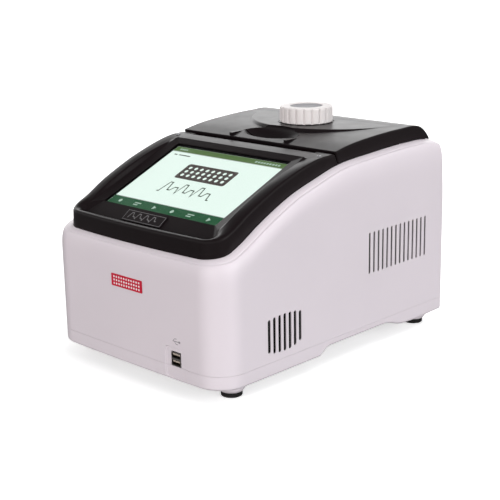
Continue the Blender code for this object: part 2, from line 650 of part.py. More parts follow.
def build_heated_plate():
    plate_axis = (0, KNOB_Y, PLATE_BOTTOM)
    box("heated_plate", -PLATE_HALF_X, PLATE_HALF_X, KNOB_Y - PLATE_HALF_Y, KNOB_Y + PLATE_HALF_Y,
        PLATE_BOTTOM, PLATE_TOP, ALUMINIUM, plate_axis)
    carrier = box("plate_carrier", -56, 56, KNOB_Y - 37, KNOB_Y + 37, 223.9, 227.4, STEEL, plate_axis)
    combine(carrier, extruded("tool_carrier_boss", circle(0, KNOB_Y, 9.0, 20), "z", 225, 233.6), "UNION")
    combine(carrier, extruded("cutter_carrier_thread", circle(0, KNOB_Y, 5.4, 20), "z", 220, 240))
    for side, name in ((-1, "left"), (1, "right")):
        turned(f"guide_pin_{name}", side * 48, KNOB_Y, [(0, 227.7), (3.0, 227.7), (3.0, 235.4), (0, 235.4)],
               STEEL, 12, plate_axis)


# ---------------------------------------------------------------- inside the case

def build_deck():
    profile = [(203.0, 205.0), (346.6, 205.0), (348.6, 193.0), (366.4, 193.0), (366.4, 206.0),
               (364.0, 206.0), (364.0, 196.0), (351.0, 196.0), (349.0, DECK_Z), (203.0, DECK_Z)]
    deck = extruded("top_deck", profile, "x", -118.6, 118.6, BLACK)
    combine(deck, box("cutter_deck_window", -69, 69, KNOB_Y - 48, KNOB_Y + 48, 198, 215))
    seal = box("block_seal", -68.6, 68.6, KNOB_Y - 47.6, KNOB_Y + 47.6, 205.2, 208.8, RUBBER)
    combine(seal, box("cutter_seal_window", -61.8, 61.8, KNOB_Y - 41.8, KNOB_Y + 41.8, 200, 212))


def build_block():
    levels = [(66, 46, 176.4), (66, 46, 183.5), (61.4, 41.4, 186.0), (61.4, 41.4, BLOCK_TOP - 0.6),
              (60.8, 40.8, BLOCK_TOP)]
    bm = bmesh.new()
    loops = []
    for half_x, half_y, z in levels:
        outline = rounded_box(0, KNOB_Y, half_x, half_y, 3.0, 2)
        loops.append([bm.verts.new(at(x, y, z)) for x, y in outline])
    for low, high in zip(loops, loops[1:]):
        for i in range(len(low)):
            j = (i + 1) % len(low)
            bm.faces.new((low[i], low[j], high[j], high[i]))
    bm.faces.new(loops[0])
    bm.faces.new(loops[-1])
    add_solid("sample_block", bm, ALUMINIUM)
    for column in range(3):
        for row in range(2):
            x, y = -42 + 42 * column, KNOB_Y - 21 + 42 * row
            name = f"thermo_module_{column * 2 + row + 1}"
            box(name, x - 20, x + 20, y - 20, y + 20, 172.3, 176.1, CERAMIC)


def build_heatsink():
    fins, pitch, thickness = 16, 9.0, 1.8
    half = (fins - 1) * pitch / 2 + thickness / 2
    outline = [(-half, 172.0)]
    for k in range(fins):
        x = -half + k * pitch
        outline += [(x, 108.0), (x + thickness, 108.0)]
        if k < fins - 1:
            outline += [(x + thickness, 163.0), (x + pitch, 163.0)]
    outline.append((half, 172.0))
    extruded("heatsink", outline, "y", KNOB_Y - 52, KNOB_Y + 52, ALUMINIUM)


def build_chassis():
    """Two sheet frames with a foot flange and three windows each, beside the heatsink."""
    for side, name in ((-1, "left"), (1, "right")):
        outline = [(side * x, z) for x, z in ((70, 34), (96, 34), (96, 191.6), (94.4, 191.6), (94.4, 35.6),
                                              (70, 35.6))]
        frame = extruded(f"chassis_{name}", outline, "y", 232, 336, STEEL)
        for k in range(3):
            y0 = 238 + 33 * k
            x0, x1 = sorted((side * 90, side * 100))
            combine(frame, box(f"cutter_chassis_{name}_{k + 1}", x0, x1, y0, y0 + 26, 70, 176))


def build_fans():
    middle = (FAN_Y0 + FAN_Y1) / 2
    for side, name in ((-1, "left"), (1, "right")):
        x = side * FAN_X
        outline = rounded_box(x, FAN_Z, FAN_HALF, FAN_HALF, 5, 3)
        frame = extruded(f"fan_frame_{name}", outline, "y", FAN_Y0, FAN_Y1, BLACK)
        combine(frame, extruded(f"cutter_fan_bore_{name}", circle(x, FAN_Z, FAN_BORE, 32), "y", FAN_Y0 - 5,
                                FAN_Y1 + 5))
        reach = FAN_BORE + 1
        combine(frame, box(f"tool_fan_strut_{name}", x - reach, x + reach, FAN_Y1 - 3.0, FAN_Y1 - 0.5,
                           FAN_Z - 1.5, FAN_Z + 1.5), "UNION")
        combine(frame, box(f"tool_fan_post_{name}", x - 1.5, x + 1.5, FAN_Y1 - 3.1, FAN_Y1 - 0.6,
                           FAN_Z - reach, FAN_Z + reach), "UNION")
        combine(frame, extruded(f"tool_fan_hub_{name}", circle(x, FAN_Z, FAN_HUB, 20), "y", FAN_Y1 - 3.3,
                                FAN_Y1 - 0.3), "UNION")
        build_rotor(f"fan_rotor_{name}", x, middle)


def build_rotor(name, x, middle):
    """A hub with seven swept blades grown out of every fourth of its sides."""
    sides, front, back = 28, FAN_Y0 + 2.0, FAN_Y1 - 4.6
    bm = bmesh.new()
    ends = [[bm.verts.new(at(px, y, pz)) for px, pz in circle(x, FAN_Z, FAN_HUB, sides)]
            for y in (front, back)]
    for end in ends:
        bm.faces.new(end)

    def tip(index, y, sweep):
        angle = math.tau * index / sides + math.radians(sweep)
        reach = FAN_BORE - 2.0
        return bm.verts.new(at(x + reach * math.cos(angle), y, FAN_Z + reach * math.sin(angle)))

    for i in range(sides):
        j = (i + 1) % sides
        a, b, c, d = ends[0][i], ends[0][j], ends[1][j], ends[1][i]
        if i % 4:
            bm.faces.new((a, b, c, d))
            continue
        e, f = tip(i, front + 3, 16), tip(i + 0.35, front + 3, 16)
        g, h = tip(i + 0.35, back - 1, -6), tip(i, back - 1, -6)
        for face in ((a, b, f, e), (b, c, g, f), (c, d, h, g), (d, a, e, h), (e, f, g, h)):
            bm.faces.new(face)
    bmesh.ops.triangulate(bm, faces=[face for face in bm.faces if len(face.verts) == 4])
    add_solid(name, bm, BLACK, (x, middle, FAN_Z))


def build_rear():
    panel = box("rear_panel", -112, 112, PANEL_Y0, PANEL_Y1, 38, 170, STEEL)
    slots = bmesh.new()
    for x in (-FAN_X, FAN_X):
        for k in range(-5, 6):
            rise = 6.4 * k
            reach = math.sqrt((FAN_BORE - 1.0) ** 2 - rise ** 2)
            outline = [(v, u) for u, v in slot(FAN_Z + rise, x - reach, x + reach, 3.4, 2)]
            prism(slots, outline, "y", PANEL_Y0 - 2, PANEL_Y1 + 2)
    combine(panel, add_solid("cutter_panel_slots", slots))
    combine(panel, box("cutter_panel_inlet", INLET_X - 14.3, INLET_X + 14.3, 360, 380, ROCKER_Z - 10.6,
                       ROCKER_Z + 10.6))
    combine(panel, box("cutter_panel_switch", ROCKER_X - 10.0, ROCKER_X + 10.0, 360, 380, ROCKER_Z - 7.0,
                       ROCKER_Z + 7.0))

    inlet = box("power_inlet", INLET_X - 14.0, INLET_X + 14.0, 352, 373.6, ROCKER_Z - 10.3,
                ROCKER_Z + 10.3, BLACK)
    well = [(INLET_X + dx, ROCKER_Z + dz) for dx, dz in ((-11.8, -7.6), (11.8, -7.6), (11.8, 3.6),
                                                         (8, 7.6), (-8, 7.6), (-11.8, 3.6))]
    combine(inlet, extruded("cutter_inlet_well", well, "y", 356, 380))
    blades = bmesh.new()
    for dx, dz in ((-7, -2), (0, 1.5), (7, -2)):
        x, z = INLET_X + dx, ROCKER_Z + dz
        prism(blades, [(x - 1, z - 2), (x + 1, z - 2), (x + 1, z + 2), (x - 1, z + 2)], "y", 354, 370)
    combine(inlet, add_solid("tool_inlet_blades", blades), "UNION")

    body = box("switch_body", ROCKER_X - 9.7, ROCKER_X + 9.7, 356, 373.4, ROCKER_Z - 6.7, ROCKER_Z + 6.7,
               BLACK)
    combine(body, box("cutter_switch_well", ROCKER_X - 8.0, ROCKER_X + 8.0, 361, 380, ROCKER_Z - 5.0,
                      ROCKER_Z + 5.0))
    profile = [(-6.9, -4.2), (6.9, -4.2), (6.9, 3.2), (0, 1.6), (-6.9, 3.2)]
    cos, sin = math.cos(ROCKER_TILT), math.sin(ROCKER_TILT)
    rocker = [(ROCKER_X + u * cos - v * sin, ROCKER_Y + u * sin + v * cos) for u, v in profile]
    extruded("power_rocker", rocker, "z", ROCKER_Z - 4.6, ROCKER_Z + 4.6, BLACK,
             (ROCKER_X, ROCKER_Y, ROCKER_Z))


def build_electronics():
    board = box("main_board", -84, 84, 78, 205, 40.0, 41.6, BOARD)
    parts = ((-40, 110, 16, 6), (30, 120, 12, 4), (10, 165, 20, 18), (55, 95, 9, 12))
    for k, (x, y, half, height) in enumerate(parts):
        combine(board, box(f"tool_board_part_{k + 1}", x - half, x + half, y - half, y + half, 41.0,
                           41.6 + height), "UNION")
    box("power_supply", -84, -6, 110, 214, 78, 118, STEEL)
    box("supply_shelf", -92, 92, 104, 218, 74.0, 76.0, STEEL)


def main():
    for obj in list(bpy.data.objects):
        bpy.data.objects.remove(obj, do_unlink=True)
    for build in (build_base, build_feet, build_housing, build_front_details, build_bezel, build_screen,
                  build_lid, build_hinge, build_handle, build_knob, build_heated_plate, build_deck,
                  build_block, build_heatsink, build_chassis, build_fans, build_rear, build_electronics):
        build()


main()
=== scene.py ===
"""The looks of a bench-top thermal cycler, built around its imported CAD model.

Lengths in the constants are millimetres. Across is x from the centre line, up is z from the soles of the
feet, and back is y from the front of the label: at() turns them into the frame's metres.
"""
import bisect
import json
import math

import bmesh
import bpy
from mathutils import Matrix, Vector


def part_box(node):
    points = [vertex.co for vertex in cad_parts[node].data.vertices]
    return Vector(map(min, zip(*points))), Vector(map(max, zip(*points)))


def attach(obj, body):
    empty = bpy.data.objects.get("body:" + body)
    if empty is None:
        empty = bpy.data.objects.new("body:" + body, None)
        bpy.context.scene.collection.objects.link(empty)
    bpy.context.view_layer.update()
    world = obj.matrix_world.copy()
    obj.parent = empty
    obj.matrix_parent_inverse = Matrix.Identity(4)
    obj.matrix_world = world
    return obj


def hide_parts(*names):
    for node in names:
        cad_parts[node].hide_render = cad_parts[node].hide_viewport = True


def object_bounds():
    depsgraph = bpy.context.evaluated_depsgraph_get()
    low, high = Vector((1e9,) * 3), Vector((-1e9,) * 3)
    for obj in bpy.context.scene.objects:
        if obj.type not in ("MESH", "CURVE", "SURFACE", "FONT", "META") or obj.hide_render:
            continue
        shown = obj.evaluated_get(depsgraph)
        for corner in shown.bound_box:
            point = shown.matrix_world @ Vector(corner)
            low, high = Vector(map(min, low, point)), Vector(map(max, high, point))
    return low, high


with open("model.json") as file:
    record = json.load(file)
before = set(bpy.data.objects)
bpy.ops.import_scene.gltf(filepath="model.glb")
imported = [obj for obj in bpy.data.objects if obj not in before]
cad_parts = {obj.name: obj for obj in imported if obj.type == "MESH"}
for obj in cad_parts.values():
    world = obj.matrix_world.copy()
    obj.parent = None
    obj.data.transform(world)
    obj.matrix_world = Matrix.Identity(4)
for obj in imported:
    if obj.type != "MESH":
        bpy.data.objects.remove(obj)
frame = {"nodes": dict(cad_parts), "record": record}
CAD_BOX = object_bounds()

MM = 0.001
DEPTH = (CAD_BOX[1][1] - CAD_BOX[0][1]) / MM
GAP = 0.1                        # clearance between neighbouring pieces

HALF_WIDTH = CAD_BOX[1][0] / MM
CASE_FRONT = 0.9
CASE_BOW = 2.2
CASE_CORNER = 33.0
REAR_CORNER = 5.0
WALL = 2.5
SEAM_Z = 30.75
VENT_WALL = 1.1                  # the side walls are thinned behind the slots

TOP_HALF = 119.0
TOP_FRONT = 9.5
TOP_BOW = 4.0
TOP_CORNER = 24.0
BEZEL_BACK = 195.6
SEAM_LEAN = 4.4                  # the seam between bezel and lid leans back by this much at its foot
LID_FRONT = 196.4
LID_BACK = 366.6

SCREEN_FRONT_Y, SCREEN_FRONT_Z = 47.0, 175.3
SCREEN_BACK_Y, SCREEN_BACK_Z = 156.75, 221.5
SCREEN_SLOPE = (SCREEN_BACK_Z - SCREEN_FRONT_Z) / (SCREEN_BACK_Y - SCREEN_FRONT_Y)
SCREEN_HALF = 86.0
WINDOW_HALF = 88.4
WINDOW_FRONT, WINDOW_BACK = 44.6, 159.4

KNOB_Y = 284.0
KNOB_RADIUS = 31.3
KNOB_BOTTOM, KNOB_TOP = 242.4, 261.0
CAP_RADIUS = 19.1
FLUTE = 1.3                      # depth of the grip's grooves
PLATEAU_Z, PLATEAU_RADIUS, PLATEAU_Y, PLATEAU_BACK = 241.8, 103.5, 341.5, 338.0
HANDLE_Y, HANDLE_Z = 218.0, 228.5
HANDLE_HALF = 40.2
NOTCH_BACK = 223.3
BOWL = (41.0, 19.5, 14.0)        # half axes of the finger bowl
BOWL_Y, BOWL_Z = 222.0, 240.0

FOOT_X, FOOT_FRONT_Y, FOOT_BACK_Y = 110.7, 40.4, 352.0
FOOT_RADIUS, FOOT_TOP = 11.4, 5.7
BOSS_RADIUS = 14.4

LEDGE_INSET, LEDGE_END = 5.4, 15.5     # where the ledge under the black top starts and ends
LEDGE_DROP = 3.1                       # the ledge's outer edge lies this far below the lip
LEDGE_FRONT, LEDGE_BACK = 4.1, 371.4
REAR_LEAN = 2.4                        # the rear wall leans forward by this much below the shoulder
SHOULDER_RISE = 9.0                    # height of the shoulder's curve below shoulder_z

VENT_PITCH = 7.91
FRONT_VENT_Y, FRONT_VENT_WIDTH = 72.5, 4.2
FRONT_VENT_RISE = (3.2, 1.0, 0.3, 0.0, 0.3, 1.8, 5.2)     # how much later each slot starts
REAR_VENT_Y, REAR_VENT_WIDTH, REAR_VENTS = 236.2, 3.0, 14
VENT_FIELDS = (("front", 96, 58.5, 29, 24), ("rear", 287.6, 113.6, 57, 28))     # middles and half sizes

SCREEN_FACE = -2.0               # the display's face lies this far below the bezel's glass plane
GLASS_HALF, GLASS_BACK = 92.5, 161.5
BORDER_HALF, BORDER_BACK = 92.0, 161.2

FLOOR_REACH = 400.0              # metres
CAMERA_PLACE = (0.90873, -0.93479, 0.46172)
CAMERA_TURNS = (44.31, 15.36, -1.03)     # azimuth, elevation and roll in degrees
CAMERA_LENS, CAMERA_SENSOR = 83.93, 36.0

CORNER_STEPS = 14                # segments in a quarter of a large corner
SIDE_STEPS = 60                  # segments along each side
SHOULDER_STEPS = 10              # rings round the shoulder of the housing
FRONT_STEPS = 10                 # segments from the middle of the front to the corner


# -------------------- curves and outlines

def smooth_curve(*points):
    """A height z(y) that runs smoothly through (y, z) points without overshooting them."""
    ys = [p[0] for p in points]
    zs = [p[1] for p in points]
    slopes = [(zs[i + 1] - zs[i]) / (ys[i + 1] - ys[i]) for i in range(len(ys) - 1)]
    inner = [(a + b) / 2 if a * b > 0 else 0.0 for a, b in zip(slopes, slopes[1:])]
    tangents = [slopes[0]] + inner + [slopes[-1]]

    def height(y):
        y = min(max(y, ys[0]), ys[-1])
        i = min(max(bisect.bisect_right(ys, y) - 1, 0), len(slopes) - 1)
        span = ys[i + 1] - ys[i]
        t = (y - ys[i]) / span
        start = (1 + 2 * t) * (1 - t) ** 2 * zs[i] + t * (1 - t) ** 2 * span * tangents[i]
        end = t * t * (3 - 2 * t) * zs[i + 1] + t * t * (t - 1) * span * tangents[i + 1]
        return start + end

    return height


shoulder_z = smooth_curve((0, 134.4), (25, 134.9), (58, 153.6), (90, 172.5), (139, 189.1),
                          (193, 196.2), (270, 199.5), (377, 198.0))
lip_z = smooth_curve((0, 147.0), (14, 149.0), (30, 152.2), (50, 161.0), (75, 175.1), (122, 196.4),
                     (156, 206.7), (199, 217.4), (256, 221.9), (318, 224.6), (352, 224.0), (377, 219.5))
crease_z = smooth_curve((9, 167.2), (22, 169.2), (40, 176.0), (66, 190.8), (92, 203.0), (114, 212.0),
                        (153, 224.4), (172, 228.5), (184, 229.5), (200, 229.5))
crown_z = smooth_curve((24, 162.6), (28, 163.2), (34, 171.5), (44, 178.6), (56, 186.0), (92, 203.2),
                       (128, 216.6), (150, 222.6), (172, 227.4))
mid_crown_z = smooth_curve((14, 166.6), (22, 169.4), (40, 177.2), (66, 191.8), (92, 203.8), (114, 212.6),
                           (153, 224.3), (172, 227.8), (184, 228.7))
lid_top_z = smooth_curve((196, 231.6), (223, 236.3), (266, 240.0), (311, 241.6), (340, 241.4),
                         (351, 238.0), (361, 230.0), (366.6, 222.4))
base_z = smooth_curve((0, 15.5), (152, 15.5), (168, 23.5), (266, 23.5), (296, 16.0), (377, 15.5))


def screen_z(y, offset=0.0):
    return SCREEN_FRONT_Z + (y - SCREEN_FRONT_Y) * SCREEN_SLOPE + offset


def at(x, y, z):
    """A point of the frame in metres, from millimetres across, back and up."""
    return Vector((x * MM, (y - DEPTH / 2) * MM, z * MM))


def half_plan(half, front, back, front_radius, back_radius, bow=0.0, corner=CORNER_STEPS):
    """Right half of a round-cornered outline, from the middle of the front to the middle of the back."""
    flat = half - front_radius
    shoulder = front + bow * (flat / half) ** 2
    points = [(flat * k / FRONT_STEPS, front + bow * (flat * k / FRONT_STEPS / half) ** 2)
              for k in range(FRONT_STEPS)]
    for k in range(corner + 1):
        turn = math.pi / 2 * k / corner
        points.append((flat + front_radius * math.sin(turn), shoulder + front_radius * (1 - math.cos(turn))))
    first, last = shoulder + front_radius, back - back_radius
    points += [(half, first + (last - first) * k / SIDE_STEPS) for k in range(1, SIDE_STEPS)]
    for k in range(corner + 1):
        turn = math.pi / 2 * k / corner
        points.append((half - back_radius * (1 - math.cos(turn)), back - back_radius * (1 - math.sin(turn))))
    points.append((0.0, back))
    return points


def ring(plan, z):
    """A closed ring of points over a half plan and its mirror image; z is a number or z(y)."""
    height = z if callable(z) else (lambda y: z)
    right = [Vector((x, y, height(y))) for x, y in plan]
    left = [Vector((-p.x, p.y, p.z)) for p in reversed(right[1:-1])]
    return right + left


def fillet(rings, radii, closed, steps=4):
    """Rounds the edges of a stack of rings: each ring becomes a run of rings on an arc of its radius."""
    count = len(rings)
    out = []
    for k, (this, radius) in enumerate(zip(rings, radii)):
        if radius == 0 or (not closed and k in (0, count - 1)):
            out.append(this)
            continue
        before, after = rings[k - 1], rings[(k + 1) % count]
        arc = [[] for _ in range(steps + 1)]
        for p, q, r in zip(before, this, after):
            into, away = p - q, r - q
            start = q + into * min(radius / max(into.length, 1e-6), 0.46)
            end = q + away * min(radius / max(away.length, 1e-6), 0.46)
            for j in range(steps + 1):
                t = j / steps
                arc[j].append(start * (1 - t) ** 2 + q * 2 * t * (1 - t) + end * t * t)
        out += arc
    return out


def circle(u, v, radius, steps=32):
    return [(u + radius * math.cos(math.tau * k / steps), v + radius * math.sin(math.tau * k / steps))
            for k in range(steps)]


def slot(u, v0, v1, width, steps=8):
    """A round-ended slot about u, from v0 to v1."""
    r = width / 2
    top = [(u + r * math.cos(math.pi * k / steps), v1 - r + r * math.sin(math.pi * k / steps))
           for k in range(steps + 1)]
    bottom = [(u - r * math.cos(math.pi * k / steps), v0 + r - r * math.sin(math.pi * k / steps))
              for k in range(steps + 1)]
    return top + bottom


def rounded_box(u, v, half_u, half_v, radius, steps=6):
    """A round-cornered outline from its middle and its half sizes."""
    points = []
    for corner, (su, sv) in enumerate(((1, 1), (-1, 1), (-1, -1), (1, -1))):
        for k in range(steps + 1):
            turn = math.pi / 2 * (corner + k / steps)
            points.append((u + su * (half_u - radius) + radius * math.cos(turn),
                           v + sv * (half_v - radius) + radius * math.sin(turn)))
    return points


def rectangle(x0, x1, y0, y1):
    return [(x0, y0), (x1, y0), (x1, y1), (x0, y1)]


def line(points, width):
    """A flat outline of even width about a run of points."""
    left, right = [], []
    for k, (x, y) in enumerate(points):
        here = Vector((x, y))
        ahead = (Vector(points[min(k + 1, len(points) - 1)]) - here).normalized()
        behind = (here - Vector(points[max(k - 1, 0)])).normalized()
        way = (ahead + behind).normalized()
        bend = max(way.dot(ahead if ahead.length else way), 0.5)
        side = Vector((-way.y, way.x)) * (width / 2 / bend)
        left.append((x + side.x, y + side.y))
        right.append((x - side.x, y - side.y))
    return left + right[::-1]


# -------------------- meshes

def new_object(name, bm):
    bmesh.ops.recalc_face_normals(bm, faces=bm.faces)
    mesh = bpy.data.meshes.new(name)
    bm.to_mesh(mesh)
    bm.free()
    obj = bpy.data.objects.new(name, mesh)
    bpy.context.scene.collection.objects.link(obj)
    return obj


def skin_loops(bm, loops, closed_stack=False):
    """Joins each loop of vertices to the next one by quads."""
    pairs = list(zip(loops, loops[1:]))
    if closed_stack:
        pairs.append((loops[-1], loops[0]))
    for low, high in pairs:
        for i in range(len(low)):
            j = (i + 1) % len(low)
            corners = list(dict.fromkeys((low[i], low[j], high[j], high[i])))
            if len(corners) > 2:
                bm.faces.new(corners)


def closed_skin(bm, loops):
    """Joins a stack of loops and closes both of its ends."""
    skin_loops(bm, loops)
    bm.faces.new(loops[0])
    bm.faces.new(loops[-1])


def cap(bm, loop):
    """Closes a mirrored loop by strips from side to side, so its height may change from front to back."""
    half = len(loop) // 2
    edge = 0.1 * MM
    start = next(i for i in range(1, half) if loop[i].co.y > loop[0].co.y + edge)
    stop = next(i for i in range(half - 1, 0, -1) if loop[i].co.y < loop[half].co.y - edge)
    bm.faces.new(loop[-start:] + loop[:start + 1])
    for i in range(start, stop):
        bm.faces.new((loop[i], loop[i + 1], loop[-i - 1], loop[-i]))
    bm.faces.new(loop[stop:len(loop) - stop + 1])


def loft(name, rings, capped):
    """A skin over a stack of rings, either capped at both ends or closed on itself as a wall."""
    bm = bmesh.new()
    loops = [[bm.verts.new(at(*p)) for p in r] for r in rings]
    skin_loops(bm, loops, closed_stack=not capped)
    if capped:
        cap(bm, loops[0])
        cap(bm, loops[-1])
    return new_object(name, bm)


def placed(axis, pair, along):
    """A point from its place along an axis and its two other coordinates."""
    values = list(pair)
    values.insert("xyz".index(axis), along)
    return at(*values)


def stack(bm, axis, outlines):
    """A solid through flat outlines, each given with its place along an axis."""
    closed_skin(bm, [[bm.verts.new(placed(axis, p, along)) for p in outline] for outline, along in outlines])


def extruded(name, outline, axis, start, end):
    bm = bmesh.new()
    stack(bm, axis, [(outline, start), (outline, end)])
    return new_object(name, bm)


def revolve(bm, x, y, profile, steps=48):
    """Turns a profile of (radius, height) about an upright axis; it runs from axis to axis, or is closed."""
    loops = []
    for k, (radius, z) in enumerate(profile):
        if k and (radius, z) == profile[0]:
            loops.append(loops[0])
        elif radius == 0:
            loops.append([bm.verts.new(at(x, y, z))] * steps)
        else:
            loops.append([bm.verts.new(at(u, v, z)) for u, v in circle(x, y, radius, steps)])
    skin_loops(bm, loops)


def turned(name, x, y, profile, steps=48):
    bm = bmesh.new()
    revolve(bm, x, y, profile, steps)
    return new_object(name, bm)


def round_profile(points, radius, steps=4):
    """Rounds the inner corners of an open profile of pairs."""
    rings = [[Vector((*p, 0.0))] for p in points]
    radii = [0] + [radius] * (len(points) - 2) + [0]
    return [(r[0].x, r[0].y) for r in fillet(rings, radii, closed=False, steps=steps)]


def combine(obj, tool, operation="DIFFERENCE"):
    """Cuts the tool out of an object, or joins it on, and removes the tool."""
    modifier = obj.modifiers.new("combine", "BOOLEAN")
    modifier.operation = operation
    modifier.object = tool
    bpy.context.view_layer.update()
    evaluated = obj.evaluated_get(bpy.context.evaluated_depsgraph_get())
    mesh = bpy.data.meshes.new_from_object(evaluated)
    obj.modifiers.clear()
    old = obj.data
    obj.data = mesh
    bpy.data.meshes.remove(old)
    spent = tool.data
    bpy.data.objects.remove(tool)
    bpy.data.meshes.remove(spent)


def finish_piece(obj, material, body="root", replaces=(), angle=32):
    """Shades a new piece, gives it its material, ties it to its CAD body and hides the CAD nodes it replaces.
    """
    obj.data.materials.clear()
    obj.data.materials.append(material)
    obj.data.shade_smooth()
    obj.data.set_sharp_from_angle(angle=math.radians(angle))
    normals = obj.modifiers.new("even_normals", "WEIGHTED_NORMAL")
    normals.keep_sharp = True
    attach(obj, body)
    if replaces:
        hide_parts(*replaces)


# -------------------- materials

def node_tree(name):
    """A new material with its node tree and its shader."""
    material = bpy.data.materials.new(name)
    material.use_nodes = True
    return material, material.node_tree, material.node_tree.nodes["Principled BSDF"]


def noise(tree, scale, detail, stretch=(1.0, 1.0, 1.0)):
    """Noise fixed to the piece, drawn out along the axis whose stretch is small."""
    coords = tree.nodes.new("ShaderNodeTexCoord")
    mapping = tree.nodes.new("ShaderNodeMapping")
    mapping.inputs["Scale"].default_value = stretch
    texture = tree.nodes.new("ShaderNodeTexNoise")
    texture.inputs["Scale"].default_value = scale
    texture.inputs["Detail"].default_value = detail
    tree.links.new(coords.outputs["Object"], mapping.inputs["Vector"])
    tree.links.new(mapping.outputs["Vector"], texture.inputs["Vector"])
    return texture.outputs["Fac"]


def ranged(tree, value, low, high):
    """Maps a noise value, which mostly runs from 0.3 to 0.7, to a range."""
    node = tree.nodes.new("ShaderNodeMapRange")
    node.inputs["From Min"].default_value = 0.3
    node.inputs["From Max"].default_value = 0.7
    node.inputs["To Min"].default_value = low
    node.inputs["To Max"].default_value = high
    tree.links.new(value, node.inputs["Value"])
    return node.outputs["Result"]


def two_tone(tree, value, colour, other):
    ramp = tree.nodes.new("ShaderNodeValToRGB")
    ramp.color_ramp.elements[0].position = 0.3
    ramp.color_ramp.elements[1].position = 0.7
    ramp.color_ramp.elements[0].color = (*colour, 1.0)
    ramp.color_ramp.elements[1].color = (*other, 1.0)
    tree.links.new(value, ramp.inputs["Fac"])
    return ramp.outputs["Color"]


def add_bump(tree, shader, value, strength, distance):
    bump = tree.nodes.new("ShaderNodeBump")
    bump.inputs["Strength"].default_value = strength
    bump.inputs["Distance"].default_value = distance
    tree.links.new(value, bump.inputs["Height"])
    tree.links.new(bump.outputs["Normal"], shader.inputs["Normal"])


def shaded(colour, amount):
    return tuple(c * amount for c in colour)


def plastic(name, colour, roughness, spread=0.05, grain=1800.0, depth=0.08, specular=0.5):
    """Moulded plastic: a fine spark-eroded grain, and a slight drift of tone and gloss over the surface."""
    material, tree, shader = node_tree(name)
    broad = noise(tree, 9.0, 2.0)
    tree.links.new(two_tone(tree, broad, shaded(colour, 0.97), colour), shader.inputs["Base Color"])
    gloss = noise(tree, 60.0, 4.0)
    tree.links.new(ranged(tree, gloss, roughness - spread, roughness + spread), shader.inputs["Roughness"])
    add_bump(tree, shader, noise(tree, grain, 2.0), depth, 0.0002)
    shader.inputs["Specular IOR Level"].default_value = specular
    return material


def metal(name, colour, roughness, stretch=(1.0, 1.0, 1.0), scale=700.0, depth=0.06):
    """Bare metal with fine marks in its tone, gloss and surface."""
    material, tree, shader = node_tree(name)
    marks = noise(tree, scale, 4.0, stretch)
    tree.links.new(two_tone(tree, marks, shaded(colour, 0.86), colour), shader.inputs["Base Color"])
    tree.links.new(ranged(tree, marks, roughness - 0.06, roughness + 0.08), shader.inputs["Roughness"])
    add_bump(tree, shader, marks, depth, 0.0001)
    shader.inputs["Metallic"].default_value = 1.0
    return material


def glow(name, colour):
    """A lit part of the display: faint pixel rows over an even colour."""
    material, tree, shader = node_tree(name)
    rows = noise(tree, 1400.0, 0.0)
    tree.links.new(two_tone(tree, rows, shaded(colour, 0.985), colour), shader.inputs["Emission Color"])
    shader.inputs["Emission Strength"].default_value = 1.0
    shader.inputs["Base Color"].default_value = (0.01, 0.01, 0.01, 1.0)
    shader.inputs["Roughness"].default_value = 0.3
    return material


def clear_glass(name):
    material, tree, shader = node_tree(name)
    shader.inputs["Base Color"].default_value = (0.97, 0.99, 0.98, 1.0)
    shader.inputs["Transmission Weight"].default_value = 1.0
    shader.inputs["IOR"].default_value = 1.16
    tree.links.new(ranged(tree, noise(tree, 25.0, 3.0), 0.015, 0.035), shader.inputs["Roughness"])
    return material


WHITE = plastic("white_case_plastic", (0.655, 0.598, 0.64), 0.36, grain=2200.0, depth=0.05)
BLACK = plastic("black_satin_plastic", (0.0072, 0.0045, 0.0052), 0.34, spread=0.02, grain=2600.0, depth=0.03,
                specular=0.24)
DEEP_BLACK = plastic("black_matt_plastic", (0.007, 0.006, 0.007), 0.48, depth=0.10, specular=0.15)
# near-black material for the sheets behind the vent slots: it paints the shade inside the slots
VENT_SHADE = plastic("painted_vent_shade", (0.0022, 0.002, 0.0022), 0.7, grain=1500.0, depth=0.3, specular=0.05)
RUBBER = plastic("black_rubber", (0.012, 0.011, 0.011), 0.78, spread=0.08, grain=900.0, depth=0.3,
                 specular=0.3)
KNOB_WHITE = plastic("warm_white_plastic", (0.67, 0.63, 0.625), 0.40, depth=0.04, specular=0.3)
KNOB_GREY = plastic("grey_plastic", (0.20, 0.195, 0.21), 0.50, depth=0.08, specular=0.3)
RED = plastic("red_label_print", (0.52, 0.008, 0.035), 0.34, depth=0.02)
PRINT_WHITE = plastic("white_print", (0.78, 0.72, 0.74), 0.4, depth=0.02)
PRINT_GREY = plastic("grey_print", (0.26, 0.235, 0.26), 0.45, depth=0.02)
SILVER = plastic("silver_print", (0.17, 0.165, 0.17), 0.35, depth=0.02)
STEEL = metal("zinc_plated_steel", (0.60, 0.60, 0.62), 0.33)
SCREW_STEEL = metal("screw_steel", (0.72, 0.72, 0.75), 0.28)
SOCKET_METAL = metal("socket_metal", (0.42, 0.40, 0.39), 0.35)
TONGUE = plastic("socket_tongue", (0.42, 0.36, 0.31), 0.5, depth=0.05)
ALUMINIUM = metal("anodised_aluminium", (0.74, 0.75, 0.77), 0.38, scale=1100.0, depth=0.04)
BRASS = metal("turned_brass", (0.78, 0.58, 0.26), 0.28, stretch=(1.0, 1.0, 6.0), scale=300.0)
CERAMIC = plastic("white_alumina", (0.82, 0.81, 0.77), 0.6, grain=1200.0, depth=0.1)
BOARD = plastic("green_solder_mask", (0.012, 0.12, 0.05), 0.32, grain=500.0, depth=0.15)
GLASS = clear_glass("cover_glass_clear")
SCREEN_MINT = glow("screen_mint", (0.86, 1.0, 0.93))
SCREEN_OLIVE = glow("screen_olive", (0.075, 0.15, 0.035))
SCREEN_GREEN = glow("screen_green", (0.0, 0.075, 0.022))
SCREEN_BROWN = glow("screen_brown", (0.05, 0.034, 0.03))
SCREEN_LIGHT = glow("screen_light", (0.42, 0.56, 0.48))
